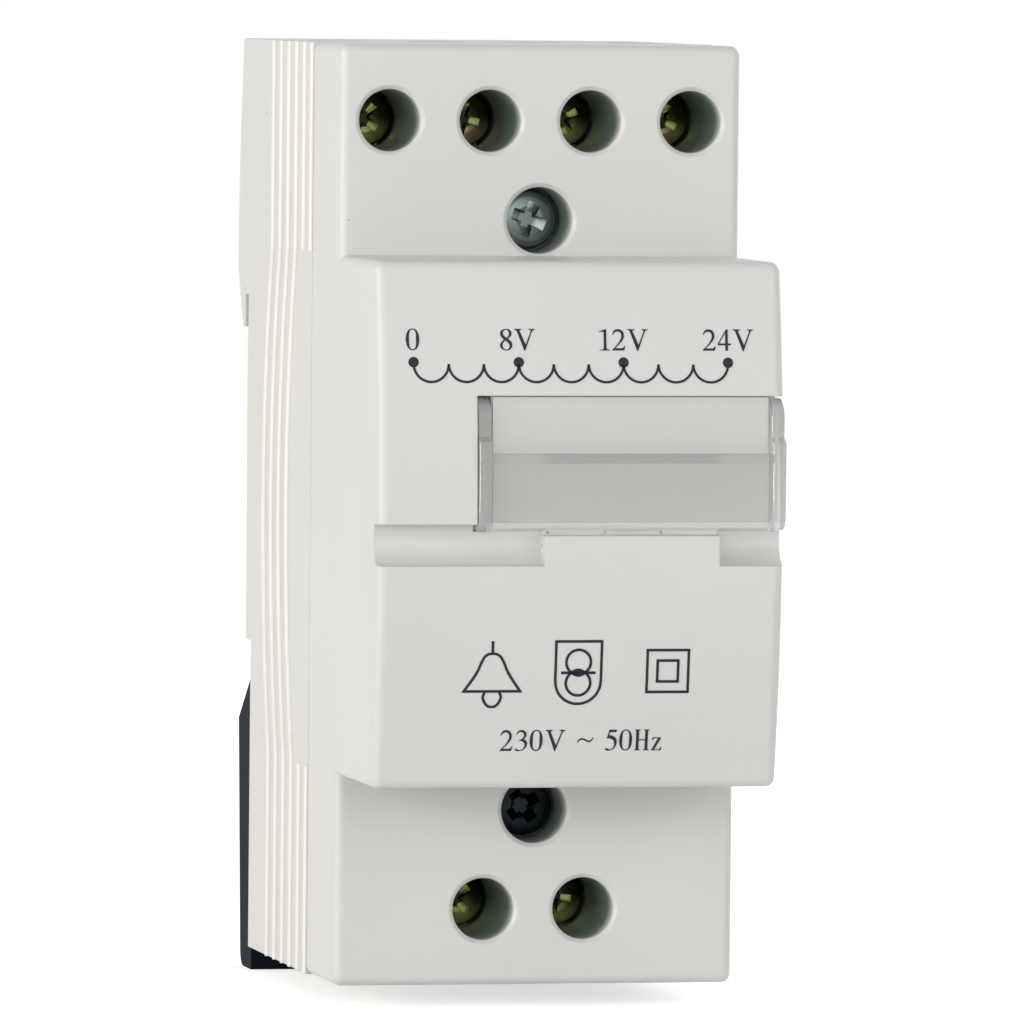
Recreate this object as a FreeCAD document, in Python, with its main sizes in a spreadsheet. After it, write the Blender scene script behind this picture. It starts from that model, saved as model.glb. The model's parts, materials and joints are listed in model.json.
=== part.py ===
import FreeCAD, Part
import math
import os
import Sketcher
from FreeCAD import Placement, Rotation, Vector

# Doorbell transformer for a 35 mm rail, two modules wide, in millimetres.
# X runs to the right, the front faces -Y and Z is up.
# The origin is the middle of the rail seat, level with the middle of the nose.

SIZES = [
    # Moulded housing
    ("body_width", 35.4),
    ("body_height", 81.6),
    ("nose_height", 45.0),
    ("shoulder_depth", 42.6),
    ("nose_edge_depth", 58.6),
    ("nose_crown", 2.4),
    ("parting_depth", 30.3),
    ("wall", 1.8),
    ("end_wall", 1.6),
    ("core_share", 0.58),
    ("edge_radius", 0.8),
    ("seam_chamfer", 0.2),
    # Rail seat, hook and heel at the back
    ("rail_height", 35.0),
    ("rail_thickness", 1.0),
    ("rail_clearance", 0.3),
    ("hook_overlap", 2.9),
    ("hook_top_depth", 2.9),
    ("hook_depth", 4.95),
    ("hook_bow", 0.5),
    ("hook_bend", 20.0),
    ("hook_tip_depth", 2.3),
    ("slot_relief", 0.15),
    ("seat_drop", 13.2),
    ("seat_recess", 2.0),
    ("seat_land", 3.6),
    ("heel_recess", 2.5),
    # Raised lines on both sides of the base
    ("rib_width", 0.7),
    ("rib_round", 0.2),
    ("rib_proud", 0.25),
    ("rib_pitch", 3.62),
    ("rib_first", 12.1),
    ("rib_bow", 3.4),
    # Terminals
    ("terminal_side", 4.395),
    ("terminal_inset", 6.6),
    ("driver_hole", 5.4),
    ("tube_setback", 0.3),
    ("tube_wall", 1.2),
    ("mouth_chamfer", 0.35),
    ("chamber_width", 5.8),
    ("wire_window", 4.8),
    ("screw_head", 5.0),
    ("screw_head_height", 2.2),
    ("screw_shank", 3.5),
    ("screw_shank_length", 6.7),
    ("screw_lead_in", 0.2),
    ("slot_width", 0.8),
    ("slot_depth", 1.1),
    ("thread_clearance", 0.05),
    ("bar_thickness", 1.0),
    ("bar_width", 3.2),
    ("bar_clearance", 0.1),
    ("wire_space", 3.9),
    ("cage_width", 5.2),
    ("cage_side", 0.75),
    ("cage_front", 1.5),
    ("cage_back", 0.8),
    ("cage_length", 5.6),
    ("cage_gap", 0.5),
    ("seat_clearance", 0.3),
    # Two screws that hold the cover
    ("core_post_gap", 0.5),
    ("cover_screw_bore", 5.8),
    ("cover_screw_sink", 6.7),
    ("cover_screw_head", 5.2),
    ("cover_screw_head_height", 2.0),
    ("cover_screw_shank", 3.0),
    ("cover_screw_length", 22.0),
    ("screw_play", 0.15),
    ("boss_wall", 1.2),
    # Laminated core
    ("core_height", 42.0),
    ("core_depth", 35.0),
    ("centre_leg", 14.0),
    ("outer_leg", 7.0),
    ("core_clearance", 0.2),
    ("rest_height", 5.0),
    ("rest_length", 5.0),
    # Bobbin, windings and tape
    ("bobbin_clearance", 0.25),
    ("bobbin_wall", 0.8),
    ("flange", 0.8),
    ("flange_clearance", 0.3),
    ("winding_fit", 0.05),
    ("flange_margin", 0.8),
    ("flange_side_gap", 1.0),
    ("winding_corner", 1.5),
    ("tape", 0.25),
    # Leads and thermal link
    ("lead_diameter", 1.2),
    ("lead_bend", 1.5),
    ("link_diameter", 3.8),
    ("link_length", 8.4),
    # Label pocket, card and clear flap on the nose
    ("pocket_left", -9.1),
    ("pocket_top", 11.1),
    ("pocket_bottom", -0.8),
    ("flap_proud", 0.3),
    ("arm_depth", 2.8),
    ("arm_width", 1.15),
    ("arm_gap", 0.1),
    ("arm_side_proud", 0.05),
    ("arm_round", 1.2),
    ("arm_neck", 1.6),
    ("arm_slope", 0.4),
    ("eye_radius", 1.7),
    ("pivot_setback", 2.5),
    ("pivot_height", 9.2),
    ("pin_radius", 0.6),
    ("pin_length", 0.8),
    ("pin_clearance", 0.05),
    ("plate", 1.0),
    ("plate_top", 6.2),
    ("plate_bottom", -0.4),
    ("rim_height", 0.8),
    ("rim_proud", 0.15),
    ("card", 0.3),
    ("card_gap", 0.2),
    ("tab_drop", 0.25),
    ("tab_width", 5.0),
    ("tab_inset", 0.2),
    ("bridge_left", -3.2),
    ("bridge_right", 12.1),
    ("scoop_radius", 2.1),
    ("scoop_height", -1.3),
    ("scoop_top", 0.15),
    # Rail clip and its spring
    ("clip_inset", 0.3),
    ("clip_gap", 0.15),
    ("clip_shelf", 16.9),
    ("clip_shelf_depth", 0.8),
    ("clip_slope", 3.7),
    ("clip_back", 4.55),
    ("clip_foot_back", 2.85),
    ("clip_foot", 42.9),
    ("clip_radius", 1.5),
    ("catch_width", 15.0),
    ("catch_height", 1.9),
    ("catch_crest", 0.8),
    ("catch_clearance", 0.2),
    ("driver_slot_width", 6.4),
    ("driver_slot_height", 1.4),
    ("foot_bar", 1.3),
    ("guide_offset", 10.5),
    ("guide_stem", 2.6),
    ("guide_head", 5.2),
    ("guide_lip", 2.0),
    ("guide_head_depth", 1.6),
    ("guide_top", 20.2),
    ("guide_bottom", 37.0),
    ("guide_clearance", 0.2),
    ("peg_width", 3.8),
    ("peg_height", 2.5),
    ("peg_reach", 3.3),
    ("peg_bottom", 34.5),
    ("spring_diameter", 3.0),
    ("spring_wire", 0.4),
    ("spring_turns", 6),
    ("spring_length", 10.0),
]

# How far a cutting block runs past the face that it opens
PAST = 1
# Columns of terminals at the upper end
COLUMNS = 4

doc = FreeCAD.newDocument("DoorbellTransformer")
sheet = doc.addObject("Spreadsheet::Sheet", "Sizes")


class Size:
    """A number together with the sheet formula that gives it."""

    def __init__(self, number, formula):
        self.number = number
        self.formula = formula

    def joined(self, other, sign, number):
        return Size(number, f"({self.formula} {sign} {other.formula})")

    def __add__(self, other):
        other = as_size(other)
        return self.joined(other, "+", self.number + other.number)

    def __sub__(self, other):
        other = as_size(other)
        return self.joined(other, "-", self.number - other.number)

    def __mul__(self, other):
        other = as_size(other)
        return self.joined(other, "*", self.number * other.number)

    def __truediv__(self, other):
        other = as_size(other)
        return self.joined(other, "/", self.number / other.number)

    def __radd__(self, other):
        return as_size(other) + self

    def __rsub__(self, other):
        return as_size(other) - self

    def __rmul__(self, other):
        return as_size(other) * self

    def __neg__(self):
        return as_size(0) - self


def as_size(value):
    if isinstance(value, Size):
        return value
    text = str(value) if value >= 0 else f"(0 - {-value})"
    return Size(float(value), text)


class Sheet:
    """The driving dimensions, each one a named size."""


size = Sheet()
for row, (alias, number) in enumerate(SIZES, 1):
    sheet.set(f"A{row}", alias)
    sheet.set(f"B{row}", str(number))
    sheet.setAlias(f"B{row}", alias)
doc.recompute()
for alias, _ in SIZES:
    setattr(size, alias, Size(float(sheet.get(alias)), f"Sizes.{alias}"))


def bind(item, **properties):
    for name, value in properties.items():
        item.setExpression(name, as_size(value).formula)


def place(item, x, y, z):
    for axis, value in zip("xyz", (x, y, z)):
        item.setExpression(f"Placement.Base.{axis}", as_size(value).formula)


def box(name, x, y, z):
    item = doc.addObject("Part::Box", name)
    bind(item, Length=x[1] - x[0], Width=y[1] - y[0], Height=z[1] - z[0])
    place(item, x[0], y[0], z[0])
    return item


TURNS = {
    "x": Rotation(Vector(0, 1, 0), 90),
    "y": Rotation(Vector(1, 0, 0), -90),
    "z": Rotation(),
}


def rod(name, diameter, axis, span, x=0, y=0, z=0):
    item = doc.addObject("Part::Cylinder", name)
    item.Placement = Placement(Vector(), TURNS[axis])
    bind(item, Radius=diameter / 2, Height=span[1] - span[0])
    start = {"x": x, "y": y, "z": z}
    start[axis] = span[0]
    place(item, start["x"], start["y"], start["z"])
    return item


def cone(name, first, last, span, x, z):
    item = doc.addObject("Part::Cone", name)
    item.Placement = Placement(Vector(), TURNS["y"])
    bind(item, Radius1=first / 2, Radius2=last / 2, Height=span[1] - span[0])
    place(item, x, span[0], z)
    return item


def fuse(name, items):
    if len(items) == 1:
        return items[0]
    joined = doc.addObject("Part::MultiFuse", name)
    joined.Shapes = items
    joined.Refine = True
    return joined


def cut(name, base, tools):
    item = doc.addObject("Part::Cut", name)
    item.Base = base
    item.Tool = fuse(name + "_tools", tools)
    item.Refine = True
    return item


def common(name, first, second):
    item = doc.addObject("Part::MultiCommon", name)
    item.Shapes = [first, second]
    return item


def arc_radius(chord_squared, rise):
    return chord_squared / (8 * rise) + rise / 2


def outline(name, corners, length, arcs=None, hollows=None):
    """A body padded both ways along X from corners (y, z), listed anticlockwise.

    arcs gives the radius of the side that starts at a corner and bulges outwards,
    and hollows that of one that curves inwards.
    """
    arcs = arcs or {}
    hollows = hollows or {}
    body = doc.addObject("PartDesign::Body", name)
    sketch = body.newObject("Sketcher::SketchObject", name + "_sketch")
    plane = next(f for f in body.Origin.OriginFeatures if f.Role == "YZ_Plane")
    sketch.AttachmentSupport = [(plane, "")]
    sketch.MapMode = "FlatFace"
    points = [Vector(as_size(y).number, as_size(z).number, 0) for y, z in corners]
    count = len(points)
    for i in range(count):
        start = points[i]
        end = points[(i + 1) % count]
        if i in arcs:
            sketch.addGeometry(outward_arc(start, end, arcs[i].number), False)
        elif i in hollows:
            sketch.addGeometry(outward_arc(end, start, hollows[i].number), False)
        else:
            sketch.addGeometry(Part.LineSegment(start, end), False)
    first = [2 if i in hollows else 1 for i in range(count)]
    for i in range(count):
        following = (i + 1) % count
        rule = Sketcher.Constraint("Coincident", i, 3 - first[i], following, first[following])
        sketch.addConstraint(rule)
    for i, corner in enumerate(corners):
        for axis, kind, value in zip("yz", ("DistanceX", "DistanceY"), corner):
            value = as_size(value)
            rule = Sketcher.Constraint(kind, -1, 1, i, first[i], value.number)
            sketch.renameConstraint(sketch.addConstraint(rule), f"{axis}{i}")
            sketch.setExpression(f"Constraints.{axis}{i}", value.formula)
    for i, radius in {**arcs, **hollows}.items():
        rule = Sketcher.Constraint("Radius", i, radius.number)
        sketch.renameConstraint(sketch.addConstraint(rule), f"radius{i}")
        sketch.setExpression(f"Constraints.radius{i}", radius.formula)
    pad = body.newObject("PartDesign::Pad", name + "_pad")
    pad.Profile = sketch
    pad.SideType = "Symmetric"
    bind(pad, Length=length)
    doc.recompute()
    return body


def outward_arc(start, end, radius):
    chord = end - start
    inward = Vector(-chord.y, chord.x, 0).normalize()
    centre = (start + end) / 2 + inward * math.sqrt(radius**2 - chord.Length**2 / 4)
    circle = Part.Circle(centre, Vector(0, 0, 1), radius)
    first = math.atan2(start.y - centre.y, start.x - centre.x)
    last = math.atan2(end.y - centre.y, end.x - centre.x)
    return Part.ArcOfCircle(circle, first, last)


def soften(body, kind, value, wanted):
    """A fillet or chamfer on the edges of the body that the test picks by their middle."""
    base = body.Tip
    names = []
    for i, edge in enumerate(base.Shape.Edges, 1):
        middle = edge.valueAt((edge.FirstParameter + edge.LastParameter) / 2)
        if wanted(middle):
            names.append(f"Edge{i}")
    feature = body.newObject(kind, body.Name + "_" + kind.split("::")[1].lower())
    feature.Base = (base, names)
    bind(feature, **{"Radius" if kind.endswith("Fillet") else "Size": value})
    body.Tip = feature
    doc.recompute()


def near(first, second):
    return abs(first - as_size(second).number) < 0.01


nodes = []


def node(name, item):
    item.Label = name
    nodes.append(item)


# Places that several pieces share
half_width = size.body_width / 2
half_height = size.body_height / 2
half_nose = size.nose_height / 2
inner_half_width = half_width - size.wall
inner_half_height = half_height - size.end_wall
parting = -size.parting_depth
shoulder = -size.shoulder_depth
nose_edge = -size.nose_edge_depth
crown = nose_edge - size.nose_crown
heel = -size.heel_recess
core_back = heel - size.wall
core_front = core_back - size.core_depth
side_reach = size.outer_leg - size.flange_clearance
half_stack = inner_half_width - size.flange_side_gap - side_reach
half_core = size.core_height / 2
terminal_pitch = (size.body_width - 2 * size.terminal_side) / (COLUMNS - 1)
terminal_offset = half_height - size.terminal_inset
cage_low = terminal_offset - size.cage_length / 2
cavity_top = half_core + (cage_low - half_core - size.wall) * size.core_share
chamber_low = cavity_top + size.wall
chamber_half = size.chamber_width / 2
post_diameter = size.cover_screw_bore + 2 * size.tube_wall
cover_screw_offset = half_core + size.core_post_gap + post_diameter / 2
lead_gap = size.lead_diameter / 2 + size.seat_clearance
over_core = half_core + lead_gap
bar_inner_end = over_core + size.lead_bend + size.lead_diameter
tube_end = parting - size.tube_setback
head_front = tube_end - size.screw_lead_in
head_back = head_front + size.screw_head_height
bar_front = head_back + size.screw_shank_length
bar_back = bar_front + size.bar_thickness
cage_inner_back = bar_back + size.wire_space
cage_rear = cage_inner_back + size.cage_back
cage_plate_rear = bar_front - size.cage_gap
cage_plate_front = cage_plate_rear - size.cage_front
chamber_floor = cage_rear + size.seat_clearance
crown_radius = arc_radius(size.nose_height * size.nose_height, size.nose_crown)

# Terminal name, column in pitches from the middle, and end of the housing
TERMINALS = [
    ("0v", -1.5, 1),
    ("8v", -0.5, 1),
    ("12v", 0.5, 1),
    ("24v", 1.5, 1),
    ("live", -0.5, -1),
    ("neutral", 0.5, -1),
]


def column(pitches):
    return terminal_pitch * pitches


def ends(low, high, end):
    """A span measured outwards from the middle, at the upper (1) or lower (-1) end."""
    return (low, high) if end > 0 else (-high, -low)


# Rear half of the housing, with the rail hook
slot_top = size.rail_height / 2 + size.rail_clearance
hook_tip = slot_top - size.hook_overlap
slot_back = size.rail_thickness + size.rail_clearance
seat_top = hook_tip - size.rail_clearance
hook_rise = half_height - size.hook_bend
hook_run = size.hook_depth - size.hook_top_depth
hook_chord = hook_rise * hook_rise + hook_run * hook_run

base_block = outline(
    "base_block",
    [
        (parting, -half_height),
        (heel, -half_height),
        (heel, -size.seat_drop),
        (0, -size.seat_drop),
        (0, seat_top),
        (-size.slot_relief, seat_top),
        (-size.slot_relief, slot_top),
        (slot_back, slot_top),
        (slot_back, hook_tip),
        (size.hook_tip_depth, hook_tip),
        (size.hook_depth, size.hook_bend),
        (size.hook_top_depth, half_height),
        (parting, half_height),
    ],
    size.body_width,
    {10: arc_radius(hook_chord, size.hook_bow)},
)


rib_side = half_width + size.rib_proud


def rib_edge(middle):
    return near(abs(middle.x), rib_side) and not near(abs(middle.z), half_height)


def side_ribs():
    """Raised lines on both sides: four bow back behind the nose, two are short."""
    half = size.rib_width / 2
    bow = size.rib_bow
    chord = size.nose_height * size.nose_height
    ribs = []
    for i in range(4):
        depth = -size.rib_first - size.rib_pitch * i
        front = depth - half
        back = depth + half
        corners = [
            (front, -half_height),
            (back, -half_height),
            (back, -half_nose),
            (back, half_nose),
            (back, half_height),
            (front, half_height),
            (front, half_nose),
            (front, -half_nose),
        ]
        radius = arc_radius(chord, bow)
        ribs.append(outline(f"long_rib_{i}", corners, rib_side * 2, {2: radius}, {6: radius}))
    for i, depth in enumerate((-size.rib_first - size.rib_pitch * 4, parting + half)):
        for name, end in (("upper", 1), ("lower", -1)):
            low, high = ends(half_nose, half_height, end)
            front = depth - half
            back = depth + half
            corners = [(front, low), (back, low), (back, high), (front, high)]
            ribs.append(outline(f"short_rib_{i}_{name}", corners, rib_side * 2))
    for rib in ribs:
        soften(rib, "PartDesign::Fillet", size.rib_round, rib_edge)
    return ribs


def base_cavities():
    """The room for the core and a recess between the rail seats."""
    side = (-inner_half_width, inner_half_width)
    land = size.seat_drop - size.seat_land
    return [
        box("core_room", side, (parting, core_back), (-cavity_top, cavity_top)),
        box("seat_pocket", side, (-size.seat_recess, as_size(PAST)), (-land, land)),
    ]


def terminal_rooms():
    """For each terminal a chamber, a window for the wire and a notch for its bar."""
    tools = []
    window = size.wire_window / 2
    notch = size.bar_width / 2 + size.bar_clearance
    for name, pitches, end in TERMINALS:
        x = column(pitches)
        tools.append(
            box(
                "chamber_" + name,
                (x - chamber_half, x + chamber_half),
                (parting, chamber_floor),
                ends(chamber_low, inner_half_height, end),
            )
        )
        tools.append(
            box(
                "wire_window_" + name,
                (x - window, x + window),
                (bar_back, bar_back + size.wire_window),
                ends(inner_half_height - size.wall, half_height + size.wall, end),
            )
        )
        tools.append(
            box(
                "bar_notch_" + name,
                (x - notch, x + notch),
                (parting, bar_back + size.bar_clearance),
                ends(cavity_top - 2 * size.wall, chamber_low + size.wall, end),
            )
        )
    return tools


def rear_pockets():
    """Moulding pockets that are open to the back."""
    tools = []
    open_back = size.hook_depth + PAST
    inner = size.wall / 2
    for x in ((inner, inner_half_width), (-inner_half_width, -inner)):
        deep = (chamber_floor + size.wall, open_back)
        tools.append(box("end_pocket", x, deep, (chamber_low, inner_half_height)))
        shallow = (core_back + size.wall, open_back)
        tools.append(box("hook_pocket", x, shallow, (slot_top + size.wall * 2, cavity_top)))
    return tools


def core_rests():
    """Upstands on the back wall that hold the core on all sides."""
    rests = []
    side = half_stack + size.core_clearance
    top = half_core + size.core_clearance
    rise = (core_back - size.rest_height, core_back)
    for end in (1, -1):
        for x in ((side, side + size.wall), (-side - size.wall, -side)):
            z = ends(top - size.rest_length, top, end)
            rests.append(box("core_rest", x, rise, z))
        for x in ((half_stack / 2, half_stack), (-half_stack, -half_stack / 2)):
            rests.append(box("core_stop", x, rise, ends(top, top + size.end_wall, end)))
    return rests


def clip_guides():
    """Two T-shaped rails for the clip and the peg that carries its spring."""
    guides = []
    z = (-size.guide_bottom, -size.guide_top)
    stem_back = heel + size.guide_lip
    for side in (-1, 1):
        x = size.guide_offset * side
        stem = size.guide_stem / 2
        head = size.guide_head / 2
        guides.append(box("guide_stem", (x - stem, x + stem), (heel, stem_back), z))
        head_span = (stem_back, stem_back + size.guide_head_depth)
        guides.append(box("guide_head", (x - head, x + head), head_span, z))
    peg = size.peg_width / 2
    peg_z = (-size.peg_bottom, -size.peg_bottom + size.peg_height)
    guides.append(box("spring_peg", (-peg, peg), (heel, heel + size.peg_reach), peg_z))
    return guides


boss = size.cover_screw_shank + 2 * size.boss_wall
bosses = []
pilots = []
cover_seat = shoulder + size.cover_screw_sink
screw_tip = cover_seat + size.cover_screw_length
for end in (1, -1):
    height = cover_screw_offset * end
    bosses.append(rod("screw_boss", boss, "y", (parting, core_back), 0, 0, height))
    bore = size.cover_screw_shank + 2 * size.thread_clearance
    pilots.append(rod("screw_pilot", bore, "y", (parting, screw_tip + size.wall), 0, 0, height))

base_shell = cut("base_shell", fuse("base_ribbed", [base_block] + side_ribs()), base_cavities())
base_full = fuse("base_full", [base_shell] + core_rests() + clip_guides() + bosses)
base = cut("base", base_full, pilots + terminal_rooms() + rear_pockets())
node("base_housing", base)

# Front half of the housing, with the nose
cover_block = outline(
    "cover_block",
    [
        (parting, -half_height),
        (parting, half_height),
        (shoulder, half_height),
        (shoulder, half_nose),
        (nose_edge, half_nose),
        (nose_edge, -half_nose),
        (shoulder, -half_nose),
        (shoulder, -half_height),
    ],
    size.body_width,
    {4: crown_radius},
)


def front_edge(middle):
    """Edges of the nose and of the shoulders, as far back as the seam."""
    at_side = near(abs(middle.x), half_width)
    level = abs(middle.z)
    if at_side:
        return middle.y < parting.number - 0.1
    on_nose = near(middle.y, nose_edge) and near(level, half_nose)
    on_shoulder = near(middle.y, shoulder) and near(level, half_height)
    return on_nose or on_shoulder


def seam_edge(middle):
    outside = near(abs(middle.x), half_width) or near(abs(middle.z), half_height)
    return outside and near(middle.y, parting)


soften(cover_block, "PartDesign::Fillet", size.edge_radius, front_edge)
soften(cover_block, "PartDesign::Chamfer", size.seam_chamfer, seam_edge)

inner_nose = half_nose - size.wall
inner_edge = nose_edge + size.wall
nose_room = outline(
    "nose_room",
    [
        (parting, -inner_nose),
        (parting, inner_nose),
        (inner_edge, inner_nose),
        (inner_edge, -inner_nose),
    ],
    inner_half_width * 2,
    {2: arc_radius(inner_nose * inner_nose * 4, size.nose_crown)},
)
shoulder_room = box(
    "shoulder_room",
    (-inner_half_width, inner_half_width),
    (shoulder + size.wall, parting),
    (-inner_half_height, inner_half_height),
)

# Hinged clear flap over the label card
flap_front = crown - size.flap_proud
pivot_depth = flap_front + size.pivot_setback
arm_rear = flap_front + size.arm_depth
plate_front = flap_front + size.rim_proud
plate_rear = plate_front + size.plate
card_front = plate_rear + size.card_gap
card_back = card_front + size.card
slot_side = size.arm_width + 2 * size.arm_gap
left_arm = (size.pocket_left + size.arm_gap, size.pocket_left + size.arm_gap + size.arm_width)
arm_side = half_width + size.arm_side_proud
right_arm = (arm_side - size.arm_width, arm_side)
panel = (size.pocket_left + slot_side, right_arm[0] - size.arm_gap)
arm_slot_back = pivot_depth + size.eye_radius + size.arm_gap * 2


def cover_inner_pieces():
    backing = arm_slot_back + size.wall
    pieces = [
        box(
            "label_backing",
            (-inner_half_width, inner_half_width),
            (crown + size.wall / 2, backing),
            (size.scoop_height - size.scoop_radius - size.wall, size.pocket_top + size.wall),
        )
    ]
    for name, pitches, end in TERMINALS:
        pieces.append(
            rod(
                "driver_tube_" + name,
                size.driver_hole + 2 * size.tube_wall,
                "y",
                (shoulder + size.wall / 2, tube_end),
                column(pitches),
                0,
                terminal_offset * end,
            )
        )
    rise = (shoulder + size.wall / 2, parting)
    for end in (1, -1):
        z = ends(cavity_top, chamber_low, end)
        pieces.append(box("end_partition", (-inner_half_width, inner_half_width), rise, z))
        for pitches in (-1, 0, 1):
            x = (column(pitches) - size.tube_wall / 2, column(pitches) + size.tube_wall / 2)
            z = ends(cavity_top, inner_half_height, end)
            pieces.append(box("terminal_rib", x, rise, z))
        pieces.append(rod("screw_post", post_diameter, "y", rise, 0, 0, cover_screw_offset * end))
    for side in (-1, 1):
        x = half_stack - 2 * size.wall
        span = (x, x + size.wall) if side > 0 else (-x - size.wall, -x)
        reach = (crown + size.wall / 2, core_front)
        pieces.append(box("core_press", span, reach, (-half_core / 2, half_core / 2)))
    return pieces


def round_hole(name, diameter, through, x, z):
    """A hole from the shoulder face backwards with a chamfered mouth."""
    mouth = diameter + 2 * size.mouth_chamfer
    return [
        rod(name, diameter, "y", (shoulder - PAST, through), x, 0, z),
        cone(name + "_mouth", mouth, diameter, (shoulder, shoulder + size.mouth_chamfer), x, z),
    ]


def cover_cuts():
    tools = []
    for name, pitches, end in TERMINALS:
        x = column(pitches)
        z = terminal_offset * end
        tools += round_hole("driver_hole_" + name, size.driver_hole, parting, x, z)
    for end in (1, -1):
        z = cover_screw_offset * end
        tools += round_hole("screw_hole", size.cover_screw_bore, cover_seat, as_size(0), z)
        shank = size.cover_screw_shank + 2 * size.screw_play
        tools.append(rod("screw_passage", shank, "y", (shoulder, parting), 0, 0, z))
    outer = half_width + PAST
    far = flap_front - PAST
    height = (size.pocket_bottom, size.pocket_top)
    tools.append(box("label_pocket", (size.pocket_left, outer), (far, card_back), height))
    arm_height = (size.plate_bottom - size.arm_gap, size.pocket_top)
    tools.append(box("left_slot", (size.pocket_left, panel[0]), (far, arm_slot_back), arm_height))
    tools.append(box("right_slot", (panel[1], outer), (far, arm_slot_back), arm_height))
    pin = 2 * size.pin_radius + 2 * size.pin_clearance
    reach = size.pin_length + size.arm_gap + size.pin_clearance
    spans = ((left_arm[1], left_arm[1] + reach), (right_arm[0] - reach, right_arm[0]))
    for span in spans:
        tools.append(rod("pin_socket", pin, "x", span, 0, pivot_depth, size.pivot_height))
    scoop_spans = ((-outer, size.bridge_left), (size.bridge_right, outer))
    for span in scoop_spans:
        scoop = rod("scoop", size.scoop_radius * 2, "x", span, 0, crown, size.scoop_height)
        room = (far - size.scoop_radius, as_size(0))
        below = box("scoop_limit", span, room, (-half_nose, size.scoop_top))
        tools.append(common("finger_scoop", scoop, below))
    return tools


core_side = half_stack + size.core_clearance
core_end = half_core + size.core_clearance
core_space = box(
    "core_space",
    (-core_side, core_side),
    (core_front - size.core_clearance, parting),
    (-core_end, core_end),
)
cover_hollow = cut("cover_hollow", cover_block, [nose_room, shoulder_room, core_space])
cover_full = fuse("cover_full", [cover_hollow] + cover_inner_pieces())
cover = cut("cover", cover_full, cover_cuts())
node("front_cover", cover)

card = box(
    "card",
    (panel[0] + size.card_gap / 2, panel[1] - size.card_gap / 2),
    (card_front, card_back),
    (size.plate_bottom + size.card_gap, size.pocket_top - size.card_gap / 2),
)
node("label_card", card)


def flap_arm(span):
    """An arm that reaches forward from its round eye to the plate, rounded at the foot."""
    neck = size.pivot_height - size.arm_neck
    arm = outline(
        "flap_arm",
        [
            (flap_front + size.arm_round, size.plate_bottom),
            (arm_rear, size.plate_bottom),
            (pivot_depth + size.eye_radius, size.pivot_height),
            (pivot_depth - size.eye_radius, size.pivot_height),
            (pivot_depth - size.eye_radius, neck),
            (flap_front, neck - size.arm_slope),
            (flap_front, size.plate_bottom + size.arm_round),
        ],
        size.arm_width,
        arcs={6: size.arm_round},
    )
    place(arm, (span[0] + span[1]) / 2, 0, 0)
    return arm


def label_flap():
    pieces = []
    for span, inward in ((left_arm, 1), (right_arm, -1)):
        pieces.append(flap_arm(span))
        pivot = (0, pivot_depth, size.pivot_height)
        pieces.append(rod("flap_eye", size.eye_radius * 2, "x", span, *pivot))
        reach = size.pin_length + size.arm_gap
        pin = (span[1], span[1] + reach) if inward > 0 else (span[0] - reach, span[0])
        pieces.append(rod("flap_pin", size.pin_radius * 2, "x", pin, *pivot))
    across = (left_arm[1], right_arm[0])
    plate_z = (size.plate_bottom, size.plate_top)
    pieces.append(box("flap_plate", across, (plate_front, plate_rear), plate_z))
    rim = (flap_front, plate_rear)
    pieces.append(box("flap_rim", across, rim, (size.plate_top - size.rim_height, size.plate_top)))
    lip_z = (size.plate_bottom, size.plate_bottom + size.rim_height)
    pieces.append(box("flap_lip", across, rim, lip_z))
    tab_z = (size.plate_bottom - size.tab_drop, size.plate_bottom)
    first = size.bridge_left + size.tab_inset
    second = size.bridge_right - size.tab_inset - size.tab_width
    for left in (first, second):
        pieces.append(box("flap_tab", (left, left + size.tab_width), rim, tab_z))
    return fuse("flap", pieces)


node("label_flap", label_flap())

# Sliding rail clip
clip_front = heel + size.clip_gap
clip_half = half_width - size.clip_inset
clip_block = outline(
    "clip_block",
    [
        (clip_front, -size.clip_foot),
        (size.clip_foot_back, -size.clip_foot),
        (size.clip_back, -size.clip_shelf - size.clip_slope),
        (-size.clip_shelf_depth, -size.clip_shelf),
        (clip_front, -size.clip_shelf),
    ],
    clip_half * 2,
)


def foot_edge(middle):
    at_foot = near(middle.z, -size.clip_foot)
    return at_foot and near(middle.y, size.clip_foot_back)


soften(clip_block, "PartDesign::Fillet", size.clip_radius, foot_edge)
catch_front = size.rail_thickness + size.catch_clearance
catch_top = -size.rail_height / 2 + size.catch_height
catch = outline(
    "catch",
    [
        (catch_front, -size.clip_shelf - size.clip_slope),
        (size.clip_back, -size.clip_shelf - size.clip_slope),
        (catch_front + size.catch_crest, catch_top),
        (catch_front, catch_top),
    ],
    size.catch_width,
)


def clip_cuts():
    tools = []
    free = size.guide_clearance
    slot_z = (-size.guide_bottom - free, -size.clip_shelf + PAST)
    head_span = (heel + size.guide_lip - free, heel + size.guide_lip + size.guide_head_depth + free)
    for side in (-1, 1):
        x = size.guide_offset * side
        stem = size.guide_stem / 2 + free
        head = size.guide_head / 2 + free
        stem_span = (heel - PAST, head_span[0] + free)
        tools.append(box("stem_slot", (x - stem, x + stem), stem_span, slot_z))
        tools.append(box("head_slot", (x - head, x + head), head_span, slot_z))
    peg = size.peg_width / 2 + free
    peg_back = heel + size.peg_reach + free
    pocket_z = (-size.peg_bottom - free, -size.peg_bottom + size.peg_height + size.spring_length)
    tools.append(box("spring_pocket", (-peg, peg), (heel - PAST, peg_back), pocket_z))
    slot = size.driver_slot_width / 2
    low = -size.clip_foot + size.foot_bar
    through = (heel - PAST, size.clip_back + PAST)
    tools.append(box("driver_slot", (-slot, slot), through, (low, low + size.driver_slot_height)))
    return tools


clip = cut("clip", fuse("clip_full", [clip_block, catch]), clip_cuts())
node("rail_clip", clip)


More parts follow.
